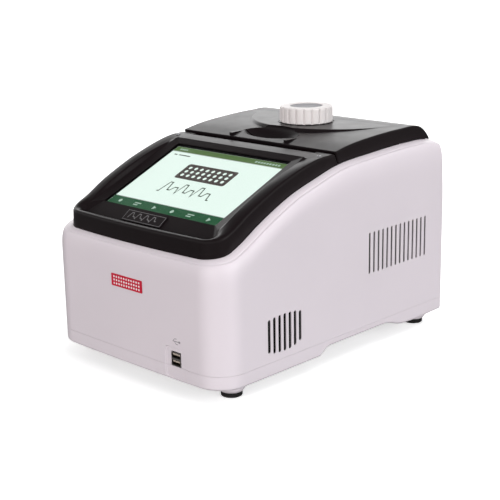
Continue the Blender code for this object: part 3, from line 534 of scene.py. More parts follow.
SCREEN_GREY = glow("screen_grey", (0.46, 0.52, 0.5))
SCREEN_INK = glow("screen_ink", (0.03, 0.05, 0.03))

SLOT_MATERIALS = {
    "case_white": WHITE, "top_black": BLACK, "badge": BLACK, "label_red": RED, "foot_rubber": RUBBER,
    "glass": GLASS, "screen": SCREEN_MINT, "circuit_board": BOARD, "steel": STEEL, "aluminium": ALUMINIUM,
    "brass": BRASS, "knob_white": KNOB_WHITE, "knob_grey": KNOB_GREY, "ceramic": CERAMIC,
    "inner_black": DEEP_BLACK,
}


def dress_cad_nodes():
    """Every CAD node that stays gets its slot's material and lightly broken edges."""
    for part in frame["record"]["subparts"]:
        node = frame["nodes"][part["node"]]
        node.data.materials.clear()
        node.data.materials.append(SLOT_MATERIALS[part["material_slot"]])
        weld = node.modifiers.new("weld", "WELD")
        weld.merge_threshold = 0.01 * MM
        bevel = node.modifiers.new("broken_edges", "BEVEL")
        bevel.width = 0.3 * MM
        bevel.segments = 2
        bevel.limit_method = "ANGLE"
        bevel.angle_limit = math.radians(40)


# -------------------- case

def case_ring(inset, front, back, z, corner=CASE_CORNER, rear=REAR_CORNER, bow=CASE_BOW):
    """A ring of the case; inset is measured from its side walls."""
    return ring(half_plan(HALF_WIDTH - inset, front, back, corner, rear, bow), z)


def pocket_tool():
    """The shallow pocket around the sockets; its right-hand wall is a gentle slope."""
    bm = bmesh.new()
    floor = rounded_box(68.8, 34.4, 14.0, 16.6, 4)
    mouth = rounded_box(70.6, 34.4, 17.2, 18.0, 5)
    stack(bm, "y", [(floor, 2.7), (mouth, 0.7), (mouth, -4.0)])
    return new_object("tool_pocket", bm)


def build_base():
    def inset_ring(inset, z):
        return case_ring(inset, CASE_FRONT + inset, DEPTH - inset, z, CASE_CORNER - inset,
                         max(REAR_CORNER - inset, 1.0))

    rings = [inset_ring(WALL, lambda y: base_z(y) + WALL), inset_ring(WALL, SEAM_Z - GAP),
             inset_ring(0.0, SEAM_Z - GAP), inset_ring(0.0, lambda y: base_z(y) + WALL - 1.0),
             inset_ring(1.6, base_z), inset_ring(5.0, base_z)]
    tray = loft("case_base", fillet(rings, (0, 0, 0.15, 1.8, 1.0, 0), closed=False), capped=True)
    combine(tray, pocket_tool())
    bosses = bmesh.new()
    under = FOOT_TOP + GAP
    cone = [(FOOT_RADIUS + 0.4, under), (BOSS_RADIUS - 2.2, under), (BOSS_RADIUS, under + 2.8),
            (BOSS_RADIUS, 17.0)]
    profile = [(0, under)] + round_profile(cone, 0.9) + [(0, 17.0)]
    for x in (-FOOT_X, FOOT_X):
        for y in (FOOT_FRONT_Y, FOOT_BACK_Y):
            revolve(bosses, x, y, profile)
    combine(tray, new_object("tool_bosses", bosses), "UNION")
    finish_piece(tray, WHITE, replaces=["base_tray"])


def build_feet():
    sole = [(FOOT_RADIUS - 3.4, 0), (FOOT_RADIUS, 0), (FOOT_RADIUS, 3.6)]
    collar = [(FOOT_RADIUS - 0.4, 3.9), (FOOT_RADIUS - 0.4, 4.3), (FOOT_RADIUS, 4.5), (FOOT_RADIUS, FOOT_TOP)]
    profile = [(0, 0)] + round_profile(sole, 1.6) + round_profile(collar, 0.1) + [(0, FOOT_TOP)]
    for side, x in (("left", -FOOT_X), ("right", FOOT_X)):
        for end, y in (("front", FOOT_FRONT_Y), ("rear", FOOT_BACK_Y)):
            foot = turned(f"rubber_foot_{end}_{side}", x, y, profile)
            finish_piece(foot, RUBBER, replaces=[f"foot_{end}_{side}"])


def shoulder_ring(inward, upward):
    """One ring of the rounded shoulder, from the wall (0, 0) to the edge of the ledge (1, 1)."""
    def height(y):
        low = shoulder_z(y) - SHOULDER_RISE
        return low + (lip_z(y) - LEDGE_DROP - low) * upward

    front = CASE_FRONT + (LEDGE_FRONT - CASE_FRONT) * inward
    back = DEPTH - REAR_LEAN
    back += (LEDGE_BACK - back) * inward
    return case_ring(LEDGE_INSET * inward, front, back, height,
                     corner=CASE_CORNER - 5 * inward, rear=REAR_CORNER - 2 * inward,
                     bow=CASE_BOW + (TOP_BOW - CASE_BOW) * inward)


def ledge_ring(inset, drop):
    """One ring of the ledge that carries the black top; drop is how far it lies below the lip."""
    share = (inset - LEDGE_INSET) / (LEDGE_END - LEDGE_INSET)
    return case_ring(inset, LEDGE_FRONT + 4.9 * share, LEDGE_BACK - 4.0 * share, lambda y: lip_z(y) - drop,
                     corner=28 - 3 * share, rear=3.0, bow=TOP_BOW)


def flared_slot(bm, side, u, v0, v1, width):
    """A slot through the side wall, whose outer edge is lightly broken."""
    flare = 0.2
    plain, wide = slot(u, v0, v1, width), slot(u, v0 - flare, v1 + flare, width + 2 * flare)
    stack(bm, "x", [(plain, side * 125), (plain, side * (HALF_WIDTH - flare)),
                    (wide, side * (HALF_WIDTH + 0.1)), (wide, side * 141)])


def add_vents(housing):
    """The two groups of slots in each side, the thinner wall round them, and a near-black sheet behind them
    that paints the shade inside the slots.
    """
    vents = bmesh.new()
    for side in (-1, 1):
        for k, rise in enumerate(FRONT_VENT_RISE):
            y = FRONT_VENT_Y + VENT_PITCH * k
            flared_slot(vents, side, y, 38.2 + rise, 79.2 - rise / 2, FRONT_VENT_WIDTH)
        for k in range(REAR_VENTS):
            flared_slot(vents, side, REAR_VENT_Y + VENT_PITCH * k, 89.9, 137.4, REAR_VENT_WIDTH)
    combine(housing, new_object("tool_vents", vents))
    inner = HALF_WIDTH - VENT_WALL
    for name, side in (("left", -1), ("right", 1)):
        for end, y, z, half_y, half_z in VENT_FIELDS:
            outline = rounded_box(y, z, half_y, half_z, 3)
            combine(housing, extruded("tool_thinning", outline, "x", side * 128, side * inner))
            # a near-black sheet just inside the thinned wall: painted shade for the vent slots
            outline = rounded_box(y, z, half_y - 0.3, half_z - 0.3, 3)
            shade_sheet = extruded(f"vent_painted_shade_{end}_{name}", outline, "x", side * (inner - 0.1),
                             side * (inner - 0.8))
            finish_piece(shade_sheet, VENT_SHADE)


def build_housing():
    rings = [case_ring(0, CASE_FRONT, DEPTH, SEAM_Z + GAP),
             case_ring(0, CASE_FRONT, DEPTH - 0.3, lambda y: shoulder_z(y) - 40)]
    for k in range(SHOULDER_STEPS + 1):
        turn = math.pi / 2 * k / SHOULDER_STEPS
        rings.append(shoulder_ring(1 - math.cos(turn), math.sin(turn)))
    for inset, drop in ((6.0, LEDGE_DROP), (6.8, 2.9), (8.2, 1.9), (12.4, 0.5), (LEDGE_END, 0.0),
                        (LEDGE_END, 9.0)):
        rings.append(ledge_ring(inset, drop))
    rings += [
        case_ring(5.0, 5.0, 369.8, lambda y: shoulder_z(y) - 7, corner=29, rear=9),
        case_ring(2.5, 3.4, 373.8, lambda y: shoulder_z(y) - 30, corner=30.5, rear=8.5),
        case_ring(2.5, 3.4, 374.4, SEAM_Z + GAP, corner=30.5, rear=8.5),
    ]
    radii = [0.15, 12.0] + [0] * SHOULDER_STEPS + [0.6, 0.5, 0.5, 0.7, 1.0, 0.4, 0, 0, 0, 0]
    housing = loft("case_housing", fillet(rings, radii, closed=True), capped=False)
    add_vents(housing)
    combine(housing, pocket_tool())
    low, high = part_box("usb_port")
    hole = rounded_box((low.x + high.x) / 2 / MM, (low.z + high.z) / 2 / MM, (high.x - low.x) / 2 / MM + 0.5,
                       (high.z - low.z) / 2 / MM + 0.5, 0.6)
    combine(housing, extruded("tool_port_hole", hole, "y", -4, 12))
    window = rounded_box(0, 104, 104, 58, 3)
    combine(housing, extruded("tool_rear_window", window, "y", 368, 382))
    finish_piece(housing, WHITE, replaces=["housing_shell"])


# -------------------- bezel and screen

def bezel_ring(half, front, back, corner, rear, z, bow=0.0):
    return ring(half_plan(half, front, back, corner, rear, bow), z)


def build_bezel():
    """One wall that runs from the seam over the crown to the window, and back below as its own inside."""
    def ledge_z(y):
        return min(screen_z(y, 2.6), 167.4 + (y - 33.5) * 1.9)

    def under_ledge_z(y):
        return min(screen_z(y, -0.1), 168.9 + (y - 39.5) * 1.9)

    def skin(height, y):
        return height(y) - 2.6 - 6.0 * min(max((y - 166) / 12, 0), 1)

    foot = BEZEL_BACK + SEAM_LEAN
    rings = [
        bezel_ring(TOP_HALF, TOP_FRONT, foot, TOP_CORNER, 1.5, lambda y: lip_z(y) - 6, TOP_BOW),
        bezel_ring(TOP_HALF, TOP_FRONT, foot, TOP_CORNER, 1.5, lip_z, TOP_BOW),
        bezel_ring(TOP_HALF - 0.8, TOP_FRONT + 0.6, BEZEL_BACK, TOP_CORNER - 1, 1.5, crease_z, TOP_BOW),
        bezel_ring(110, 17, 182, 14, 4, mid_crown_z, 2),
        bezel_ring(102.5, 27.0, 169.6, 7, 3, crown_z),
        bezel_ring(100, 33.5, 167.6, 4, 3, ledge_z),
        bezel_ring(WINDOW_HALF, WINDOW_FRONT, WINDOW_BACK, 1, 1, lambda y: screen_z(y, 0.9)),
        bezel_ring(WINDOW_HALF, WINDOW_FRONT, WINDOW_BACK, 1, 1, lambda y: screen_z(y, -0.1)),
        bezel_ring(97.5, 39.5, 165.5, 1.5, 2, under_ledge_z),
        bezel_ring(105, 27.5, 172, 7, 3, lambda y: skin(crown_z, y)),
        bezel_ring(112, 17.5, 184, 13, 4, lambda y: skin(mid_crown_z, y), 2),
        bezel_ring(TOP_HALF - 3.4, TOP_FRONT + 3.0, BEZEL_BACK - 2.5, TOP_CORNER - 3, 1.5,
                   lambda y: skin(crease_z, y) - 0.6, TOP_BOW),
        bezel_ring(TOP_HALF - 2.4, TOP_FRONT + 2.5, foot - 2.5, TOP_CORNER - 2, 1.5,
                   lambda y: lip_z(y) - 6, TOP_BOW),
    ]
    radii = (0, 3.0, 3.4, 7.0, 1.6, 1.2, 0.4, 0, 0, 0, 0, 0, 0)
    bezel = loft("screen_bezel", fillet(rings, radii, closed=True), capped=False)
    groove = [(181.5, 233.5), (183.5, 230.5), (193.0, 227.6), (199, 227.4), (199, 238), (181.5, 238)]
    combine(bezel, extruded("tool_groove", groove, "x", -95, 95))
    wells = bmesh.new()
    well = [(0, 212), (1.8, 212), (1.8, 227.2), (2.7, 227.2), (2.7, 228.8), (3.4, 233.3), (0, 233.3)]
    for name in ("left", "right"):
        low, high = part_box(f"bezel_screw_{name}")
        revolve(wells, (low.x + high.x) / 2 / MM, (low.y + high.y) / 2 / MM + DEPTH / 2, well, 24)
    combine(bezel, new_object("tool_screw_wells", wells))
    finish_piece(bezel, BLACK, replaces=["display_bezel"])


def build_bezel_screws():
    for name in ("left", "right"):
        low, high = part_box(f"bezel_screw_{name}")
        x, y = (low.x + high.x) / 2 / MM, (low.y + high.y) / 2 / MM + DEPTH / 2
        bottom, top = low.z / MM, high.z / MM - 2.4
        head = [(2.3, top - 1.9), (2.3, top - 0.5), (1.5, top), (0.1, top)]
        profile = [(0, bottom), (1.4, bottom), (1.4, top - 2), (2.3, top - 2)]
        profile += round_profile(head, 0.5) + [(0, top)]
        screw = turned(f"screw_{name}", x, y, profile, 24)
        for turn in (0.5, 0.5 + math.pi / 2):
            cos, sin = math.cos(turn), math.sin(turn)
            cross = [(x + u * cos - v * sin, y + u * sin + v * cos)
                     for u, v in rectangle(-1.5, 1.5, -0.3, 0.3)]
            combine(screw, extruded("tool_cross", cross, "z", top - 0.9, top + 1))
        finish_piece(screw, SCREW_STEEL, replaces=[f"bezel_screw_{name}"])


def on_screen(bm, outline, low, high):
    """Lays a flat outline, in x and y, on the slope of the screen between two heights above its plane."""
    closed_skin(bm, [[bm.verts.new(at(x, y, screen_z(y, lift))) for x, y in outline] for lift in (low, high)])


def screen_layer(name, outlines, material, lift):
    """A thin layer of the picture, lifted off the display's face."""
    bm = bmesh.new()
    for outline in outlines:
        on_screen(bm, outline, SCREEN_FACE + lift, SCREEN_FACE + lift + 0.05)
    finish_piece(new_object(name, bm), material)


def build_screen():
    bm = bmesh.new()
    on_screen(bm, rectangle(-88, 88, WINDOW_FRONT + 0.4, 158.5), SCREEN_FACE - 6, SCREEN_FACE)
    finish_piece(new_object("display_panel", bm), SCREEN_MINT, replaces=["lcd_panel"])

    bm = bmesh.new()
    middle, half = (WINDOW_FRONT + GLASS_BACK) / 2, (GLASS_BACK - WINDOW_FRONT - GAP) / 2
    on_screen(bm, rounded_box(0, middle, GLASS_HALF, half, 1.5), -1.7, -0.6)
    finish_piece(new_object("cover_glass", bm), GLASS, replaces=["touch_glass"])

    front, back = SCREEN_FRONT_Y, SCREEN_BACK_Y
    border = [rectangle(-BORDER_HALF, BORDER_HALF, WINDOW_FRONT + 0.6, front),
              rectangle(-BORDER_HALF, BORDER_HALF, back, BORDER_BACK),
              rectangle(-BORDER_HALF, -SCREEN_HALF, front, back),
              rectangle(SCREEN_HALF, BORDER_HALF, front, back)]
    bm = bmesh.new()
    for outline in border:
        on_screen(bm, outline, SCREEN_FACE + 0.14, SCREEN_FACE + 0.24)
    finish_piece(new_object("screen_border", bm), DEEP_BLACK)
    build_screen_picture()


def build_screen_picture():
    """A plain start page: title bar, a plate symbol, a temperature curve and a row of six keys."""
    front, back, half = SCREEN_FRONT_Y, SCREEN_BACK_Y, SCREEN_HALF
    key_top = front + 13.2
    title = back - 8.0
    screen_layer("page_title_bar", [rectangle(-half, half, title, back)], SCREEN_OLIVE, 0.0)
    screen_layer("page_key_bar", [rectangle(-half, half, front, key_top)], SCREEN_GREEN, 0.0)
    screen_layer("page_lines", [rectangle(-half, half, key_top, key_top + 0.8),
                                rectangle(-half, half, title - 0.9, title)], SCREEN_GREY, 0.02)

    left = [-half + 8 + 3.4 * k for k in range(4)]
    right = [half - 44 + 4.2 * k for k in range(9)]
    ticks = [rectangle(x, x + 2.4, title + 3.0, title + 5.2) for x in left]
    ticks += [rectangle(x, x + 2.8, title + 2.6, title + 5.2) for x in right]
    screen_layer("page_status_marks", ticks, SCREEN_LIGHT, 0.06)

    plate_y = 118
    screen_layer("page_plate_symbol", [rounded_box(0, plate_y, 39, 13.0, 3)], SCREEN_BROWN, 0.0)
    wells = [circle(-31.5 + 9 * k, plate_y + 6.6 * row, 2.3, 16) for k in range(8) for row in (-1, 0, 1)]
    screen_layer("page_plate_wells", wells, SCREEN_MINT, 0.06)

    start, cycle = -40, 25
    low, high, anneal, extend = 80, 97, 84, 90
    curve = [(start, low)]
    for x in range(start, start + 3 * cycle, cycle):
        curve += [(x + 3, low), (x + 6, high), (x + 10, high), (x + 13, anneal), (x + 17, anneal),
                  (x + 20, extend), (x + cycle, extend)]
    end = start + 3 * cycle
    curve += [(end + 3, low), (end + 6, low)]
    screen_layer("page_curve", [line(curve, 1.5)], SCREEN_INK, 0.0)

    marks = []
    y = front + 6.4
    for x in (-70, 14):
        marks.append(circle(x, y, 2.4, 20))
        marks.append(rectangle(x + 23, x + 33, y + 0.8, y + 2.2))
        marks.append(rectangle(x + 23, x + 30, y - 2.2, y - 0.8))
        marks.append([(x + 53.8, y - 2.8), (x + 58.8, y), (x + 53.8, y + 2.8)])
    screen_layer("page_key_marks", marks, SCREEN_LIGHT, 0.06)
    menu = [rectangle(-half + 8, -half + 13, title - 6.6, title - 5.0),
            rectangle(-half + 16, -half + 34, title - 6.6, title - 5.0)]
    screen_layer("page_menu_marks", menu, SCREEN_INK, 0.0)


def build_badge():
    """A silver outline and a plain temperature curve on the badge plate."""
    low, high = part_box("badge_plate")
    x0, x1 = low.x / MM, high.x / MM
    y0, y1 = 27.5, 41.0
    slope = 0.70

    def lay(bm, outline):
        """Lays a flat outline on the slope of the badge plate."""
        closed_skin(bm, [[bm.verts.new(at(x, y, 163.9 + slope * (y - 28.0) + height)) for x, y in outline]
                         for height in (1.0, 1.28)])

    bm = bmesh.new()
    left, right, front, back = x0 + 0.9, x1 - 0.9, y0 + 0.9, y1 - 1.4
    upright, level = 0.5, 0.4
    lay(bm, rectangle(left, right, front, front + level))
    lay(bm, rectangle(left, right, back - level, back))
    lay(bm, rectangle(left, left + upright, front, back))
    lay(bm, rectangle(right - upright, right, front, back))
    finish_piece(new_object("badge_outline", bm), SILVER)

    bm = bmesh.new()
    points = []
    x = x0 + 7
    while x < x1 - 12:
        points += [(x, 31.0), (x + 2.4, 37.2), (x + 5.2, 37.2), (x + 7.0, 33.0), (x + 9.0, 33.0)]
        x += 11.4
    lay(bm, line(points, 0.8))
    finish_piece(new_object("badge_curve", bm), SILVER)


def build_label():
    """The red label, with rows of dots in place of any lettering."""
    low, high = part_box("front_label")
    x0, x1, z0, z1 = low.x / MM, high.x / MM, low.z / MM, high.z / MM
    middle, centre = (x0 + x1) / 2, (z0 + z1) / 2
    outline = rounded_box(middle, centre, (x1 - x0) / 2, (z1 - z0) / 2, 0.8)
    bm = bmesh.new()
    stack(bm, "y", [(outline, 0.62), (outline, 0.12)])
    finish_piece(new_object("label", bm), RED, replaces=["front_label"])
    bm = bmesh.new()
    for row in (-1, 0, 1):
        for k in range(11):
            spot = circle(middle - 20 + 4 * k, centre + 3.7 * row, 1.15, 16)
            stack(bm, "y", [(spot, 0.14), (spot, 0.02)])
    finish_piece(new_object("label_dots", bm), PRINT_WHITE)


def build_port():
    """Two stacked sockets in one metal shell, with their tongues, contacts and the mark above them."""
    low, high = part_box("usb_port")
    x, bottom = (low.x + high.x) / 2 / MM, low.z / MM
    half_x, half_z = (high.x - low.x) / 2 / MM, (high.z - low.z) / 2 / MM
    shell = rounded_box(x, (low.z + high.z) / 2 / MM, half_x, half_z, 0.5)
    port = extruded("socket_shell", shell, "y", 2.0, 18.0)
    sockets = (bottom + 1.4, bottom + 9.0)
    for z in sockets:
        opening = rounded_box(x, z + 2.4, 6.1, 2.5, 0.4)
        flare = rounded_box(x, z + 2.4, 6.5, 2.9, 0.6)
        bm = bmesh.new()
        stack(bm, "y", [(opening, 14.0), (opening, 2.7), (flare, 1.9), (flare, 0.0)])
        combine(port, new_object("tool_opening", bm))
    finish_piece(port, SOCKET_METAL, replaces=["usb_port"])
    bm = bmesh.new()
    contacts = bmesh.new()
    for z in sockets:
        tongue = rounded_box(x, z + 3.5, 5.4, 0.7, 0.2, 2)
        stack(bm, "y", [(tongue, 14.2), (tongue, 3.0)])
        for k in range(4):
            pad = rectangle(x - 4.3 + 2.4 * k, x - 3.1 + 2.4 * k, 3.3, 11.0)
            stack(contacts, "z", [(pad, z + 2.2), (pad, z + 2.45)])
    finish_piece(new_object("socket_tongues", bm), TONGUE)
    finish_piece(new_object("socket_contacts", contacts), BRASS)

    bm = bmesh.new()
    centre = 58.6
    surface = CASE_FRONT + CASE_BOW * (x / HALF_WIDTH) ** 2
    for outline in (circle(x - 7.4, centre, 1.7, 20), line([(x - 6.5, centre), (x + 6.0, centre)], 0.8),
                    line([(x - 3.0, centre), (x - 0.4, centre + 2.8), (x + 2.6, centre + 2.8)], 0.7),
                    line([(x - 1.0, centre), (x + 1.6, centre - 2.8), (x + 4.4, centre - 2.8)], 0.7),
                    rectangle(x + 5.6, x + 7.8, centre - 1.1, centre + 1.1)):
        stack(bm, "y", [(outline, surface + 0.3), (outline, surface - 0.05)])
    finish_piece(new_object("socket_symbol", bm), PRINT_GREY)


# -------------------- lid

def bowl_tool(name):
    """The ellipsoid that hollows the finger bowl out of the lid and its handle."""
    bm = bmesh.new()
    bmesh.ops.create_uvsphere(bm, u_segments=72, v_segments=36, radius=1.0)
    for vert in bm.verts:
        vert.co = at(vert.co.x * BOWL[0], BOWL_Y + vert.co.y * BOWL[1], BOWL_Z + vert.co.z * BOWL[2])
    return new_object(name, bm)


def lid_ring(inset, front, back, z):
    return ring(half_plan(TOP_HALF - inset, front, back, 1.5, 1.5, corner=4), z)


def build_lid():
    """The lid's shell: a raised half disc, a notch for the handle, the finger bowl and the knob's bore."""
    rings = [
        lid_ring(3.0, LID_FRONT + 3.0, LID_BACK - 3.2, lambda y: lid_top_z(y + 1.2) - 3.2),
        lid_ring(3.0, LID_FRONT + SEAM_LEAN + 3.0, LID_BACK - 3.0, lambda y: lip_z(y) + 0.4),
        lid_ring(0.0, LID_FRONT + SEAM_LEAN, LID_BACK, lambda y: lip_z(y) + 0.4),
        lid_ring(0.0, LID_FRONT, LID_BACK - 0.2, lid_top_z),
        lid_ring(6.0, LID_FRONT + 3.0, LID_BACK - 3.0, lid_top_z),
    ]
    lid = loft("lid_shell", fillet(rings, (0, 0, 0.4, 1.7, 0), closed=False, steps=5), capped=True)

    def half_disc(radius):
        turns = [math.pi * (k / 64 - 0.5) for k in range(65)]
        return [(radius * math.sin(a), min(PLATEAU_Y - radius * math.cos(a), PLATEAU_BACK)) for a in turns]

    bm = bmesh.new()
    flank = ((4.0, 236.6), (1.0, 240.9), (0.3, 241.5), (-0.8, PLATEAU_Z))
    stack(bm, "z", [(half_disc(PLATEAU_RADIUS + wider), z) for wider, z in flank])
    combine(lid, new_object("tool_plateau", bm), "UNION")
    backing = rectangle(-44.5, 44.5, 199.6, 244.5)
    combine(lid, extruded("tool_backing", backing, "z", 223.9, 235.5), "UNION")
    notch = rectangle(-HANDLE_HALF - 0.4, HANDLE_HALF + 0.4, 190, NOTCH_BACK)
    combine(lid, extruded("tool_notch", notch, "z", 210, 250))
    lip = rectangle(-43, 43, 219.0, 225.0)
    combine(lid, extruded("tool_lip", lip, "z", 222.7, 224.1), "UNION")
    combine(lid, bowl_tool("tool_bowl"))
    bm = bmesh.new()
    revolve(bm, 0, KNOB_Y, [(0, 230), (7.4, 230), (7.4, 241.2), (8.2, 242.4), (8.2, 250), (0, 250)])
    revolve(bm, 0, KNOB_Y, [(32.2, 241.0), (33.2, 241.0), (33.4, 242.6), (32.0, 242.6), (32.2, 241.0)], 96)
    combine(lid, new_object("tool_bore", bm))
    finish_piece(lid, BLACK, body="lid", replaces=["lid_cover"])


def build_handle():
    outline = round_profile([(209, 236.6), (LID_FRONT + 0.3, lid_top_z(LID_FRONT + 0.3)), (199.8, 222.2),
                             (206, 221.8)], 1.0)
    outline[0] = (209, lid_top_z(209))
    outline += [(216, 223.2)]
    outline += [(HANDLE_Y + 4.0 * math.cos(math.radians(d)), HANDLE_Z + 4.0 * math.sin(math.radians(d)))
                for d in range(-90, 1, 10)]
    outline += [(221.6, lid_top_z(221.6)), (215, lid_top_z(215))]
    handle = extruded("handle_bar", outline, "x", -HANDLE_HALF, HANDLE_HALF)
    for side in (-1, 1):
        reach = 35.5 if side > 0 else 38.5
        corner = [(side * reach, 224), (side * 42, 206), (side * 42, 224)]
        combine(handle, extruded("tool_handle_corner", corner, "z", 219, 245))
    combine(handle, bowl_tool("tool_handle_bowl"))
    finish_piece(handle, BLACK, body="handle", replaces=["lid_handle"])


def build_knob():
    flutes, per_flute = 20, 14
    count = flutes * per_flute

    def fluted(radius, depth):
        """Wide, slightly crowned lands between narrow grooves."""
        out = []
        for k in range(count):
            t = (k % per_flute) / per_flute
            groove = math.exp(-((min(t, 1 - t)) / 0.10) ** 2)
            crown = 0.45 * (2 * t - 1) ** 2
            out.append((radius - depth * (groove + crown), math.tau * k / count))
        return out

    bm = bmesh.new()

    def level(radius, z, depth=0.0):
        return [bm.verts.new(at(r * math.cos(turn), KNOB_Y + r * math.sin(turn), z))
                for r, turn in fluted(radius, depth)]

    bore, recess = 5.3, CAP_RADIUS + 0.3
    loops = [level(bore, KNOB_BOTTOM + 15), level(bore, KNOB_BOTTOM), level(KNOB_RADIUS - 1.0, KNOB_BOTTOM),
             level(KNOB_RADIUS, KNOB_BOTTOM + 0.8, FLUTE)]
    shoulder = 2.4
    loops.append(level(KNOB_RADIUS, KNOB_TOP - shoulder - 1.0, FLUTE))
    for k in range(9):
        turn = math.pi / 2 * k / 8
        depth = FLUTE * (1 - k / 8) ** 1.5
        loops.append(level(KNOB_RADIUS - shoulder * 0.85 * (1 - math.cos(turn)),
                           KNOB_TOP - shoulder + shoulder * math.sin(turn), depth))
    loops += [level(recess + 0.5, KNOB_TOP), level(recess + 0.1, KNOB_TOP - 0.2),
              level(recess, KNOB_TOP - 0.6), level(recess, KNOB_TOP - 2.4)]
    closed_skin(bm, loops)
    finish_piece(new_object("lid_knob_grip", bm), KNOB_WHITE, body="lid_knob",
                 replaces=["knob"], angle=28)
    top = KNOB_TOP - 0.6
    edge = [(CAP_RADIUS - 2, top - 1.5), (CAP_RADIUS, top - 1.5), (CAP_RADIUS, top),
            (CAP_RADIUS - 3, top - 0.05)]
    profile = [(0, top - 1.5)] + round_profile(edge, 0.5) + [(9.0, top - 0.35), (0, top - 0.4)]
    finish_piece(turned("knob_disc", 0, KNOB_Y, profile, 96), KNOB_GREY, body="lid_knob",
                 replaces=["knob_cap"])


# -------------------- block

def build_block():
    """The sample block: 24 x 16 conical wells at the standard 4.5 mm pitch."""
    low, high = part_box("sample_block")
    top = high.z / MM
    columns, rows, pitch, sides = 24, 16, 4.5, 16
    bm = bmesh.new()
    known = {}

    def vert(x, y, z):
        key = (round(x, 4), round(y, 4), round(z, 4))
        if key not in known:
            known[key] = bm.verts.new(at(x, y, z))
        return known[key]

    def rim(cx, cy, half):
        """Sixteen points round a square, starting at the middle of its right side."""
        points = []
        for k in range(sides):
            turn = math.tau * k / sides
            reach = half / max(abs(math.cos(turn)), abs(math.sin(turn)))
            points.append((cx + reach * math.cos(turn), cy + reach * math.sin(turn)))
        return points

    for column in range(columns):
        for row in range(rows):
            cx = (column - (columns - 1) / 2) * pitch
            cy = KNOB_Y + (row - (rows - 1) / 2) * pitch
            loops = [[vert(x, y, top) for x, y in rim(cx, cy, pitch / 2)]]
            for radius, depth in ((1.75, 0.0), (1.6, 0.25), (0.95, 8.0)):
                loops.append([vert(x, y, top - depth) for x, y in circle(cx, cy, radius, sides)])
            skin_loops(bm, loops)
            bm.faces.new(loops[-1])
    field_x, field_y = columns * pitch / 2, rows * pitch / 2
    middle = at(0, KNOB_Y, top)
    border = sorted({v for edge in bm.edges if len(edge.link_faces) == 1 for v in edge.verts},
                    key=lambda v: math.atan2(v.co.y - middle.y, v.co.x))
    loops = [border]
    for half_x, half_y, z in ((60.9, 40.9, top), (61.4, 41.4, top - 0.6), (61.4, 41.4, 186.0),
                              (66, 46, 183.5), (66, 46, low.z / MM)):
        stretch = Vector((half_x / field_x, half_y / field_y, 0.0))
        loops.append([bm.verts.new(at(0, KNOB_Y, z) + (v.co - middle) * stretch) for v in border])
    skin_loops(bm, loops)
    bm.faces.new(loops[-1])
    finish_piece(new_object("well_block", bm), ALUMINIUM, replaces=["sample_block"], angle=25)


# -------------------- stage

def build_stage():
    mesh = bpy.data.meshes.new("floor")
    bm = bmesh.new()
    bmesh.ops.create_grid(bm, x_segments=1, y_segments=1, size=FLOOR_REACH)
    bm.to_mesh(mesh)
    bm.free()
    floor = bpy.data.objects.new("floor", mesh)
    bpy.context.scene.collection.objects.link(floor)
    material, _, shader = node_tree("pale_floor")
    shader.inputs["Base Color"].default_value = (0.90, 0.90, 0.90, 1.0)
    shader.inputs["Roughness"].default_value = 0.8
    shader.inputs["Specular IOR Level"].default_value = 0.1
    shader.inputs["Emission Color"].default_value = (1.0, 1.0, 1.0, 1.0)
    shader.inputs["Emission Strength"].default_value = 0.50
    mesh.materials.append(material)
    floor.visible_glossy = False
    floor.visible_diffuse = False


def aim(obj, place, target):
    obj.location = place
    obj.rotation_euler = (Vector(target) - Vector(place)).to_track_quat("-Z", "Y").to_euler()
    bpy.context.scene.collection.objects.link(obj)


def area_light(name, place, target, size, radiance, colour=(1.0, 1.0, 1.0)):
    """A soft box with an even face; radiance is how bright that face is."""
    light = bpy.data.lights.new(name, "AREA")
    light.shape = "RECTANGLE"
    light.size, light.size_y = size
    light.energy = radiance * math.pi * size[0] * size[1]
    light.color = colour
    aim(bpy.data.objects.new(name, light), place, target)


def broad_light(name, direction, strength, spread, colour=(1.0, 1.0, 1.0)):
    """Light from a wide patch of ceiling or wall, too even to show as a reflection."""
    light = bpy.data.lights.new(name, "SUN")
    light.energy = strength
    light.angle = math.radians(spread)
    light.color = colour
    obj = bpy.data.objects.new(name, light)
    aim(obj, Vector(direction).normalized() * 4, (0, 0, 0))
    obj.visible_glossy = False
    obj.visible_transmission = False


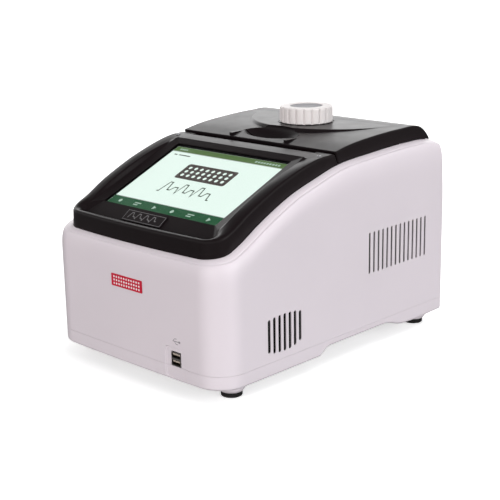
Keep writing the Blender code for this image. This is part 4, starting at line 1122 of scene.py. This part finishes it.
def build_world():
    """A white sweep at eye level under a dim ceiling."""
    world = bpy.data.worlds.new("studio")
    world.use_nodes = True
    tree = world.node_tree
    coords = tree.nodes.new("ShaderNodeTexCoord")
    split = tree.nodes.new("ShaderNodeSeparateXYZ")
    ramp = tree.nodes.new("ShaderNodeValToRGB")
    stops = ramp.color_ramp.elements
    stops[0].position, stops[0].color = 0.0, (0.16, 0.16, 0.16, 1.0)
    stops[1].position, stops[1].color = 0.60, (0.17, 0.17, 0.17, 1.0)
    for position, level in ((0.002, 0.70), (0.30, 0.70)):
        stops.new(position).color = (level, level, level, 1.0)
    background = tree.nodes["Background"]
    tree.links.new(coords.outputs["Generated"], split.inputs["Vector"])
    tree.links.new(split.outputs["Z"], ramp.inputs["Fac"])
    tree.links.new(ramp.outputs["Color"], background.inputs["Color"])
    background.inputs["Strength"].default_value = 1.0
    bpy.context.scene.world = world


def build_light():
    build_world()
    broad_light("top_fill", (0.25, 0.38, 0.89), 1.35, 50)
    broad_light("right_fill", (0.96, 0.0, 0.28), 1.7, 50, (0.97, 0.99, 1.0))
    broad_light("front_fill", (0.10, -0.99, 0.04), 3.05, 60, (1.0, 0.97, 0.96))
    area_light("back_sweep", (-1.9, 1.9, 0.88), (0, 0, 0.24), (3.6, 1.75), 1.5)
    area_light("right_window", (2.4, 0.2, 0.9), (0, 0, 0.15), (1.6, 1.0), 1.6)


def build_camera():
    azimuth, elevation, roll = (math.radians(turn) for turn in CAMERA_TURNS)
    forward = Vector((-math.sin(azimuth) * math.cos(elevation), math.cos(azimuth) * math.cos(elevation),
                      -math.sin(elevation)))
    right = Vector((math.cos(azimuth), math.sin(azimuth), 0.0))
    up = right.cross(forward)
    tilted_right = right * math.cos(roll) + up * math.sin(roll)
    tilted_up = up * math.cos(roll) - right * math.sin(roll)
    data = bpy.data.cameras.new("camera")
    data.lens = CAMERA_LENS
    data.sensor_width = CAMERA_SENSOR
    data.clip_start = 0.05
    data.clip_end = 1000.0
    camera = bpy.data.objects.new("camera", data)
    turn = Matrix((tilted_right, tilted_up, -forward)).transposed().to_4x4()
    camera.matrix_world = Matrix.Translation(CAMERA_PLACE) @ turn
    bpy.context.scene.collection.objects.link(camera)
    bpy.context.scene.camera = camera


def main():
    build_camera()
    build_light()
    build_stage()
    dress_cad_nodes()
    for build in (build_base, build_feet, build_housing, build_bezel, build_bezel_screws, build_screen,
                  build_badge, build_label, build_port, build_lid, build_handle, build_knob, build_block):
        build()
    bpy.context.scene.view_settings.view_transform = "Standard"


main()
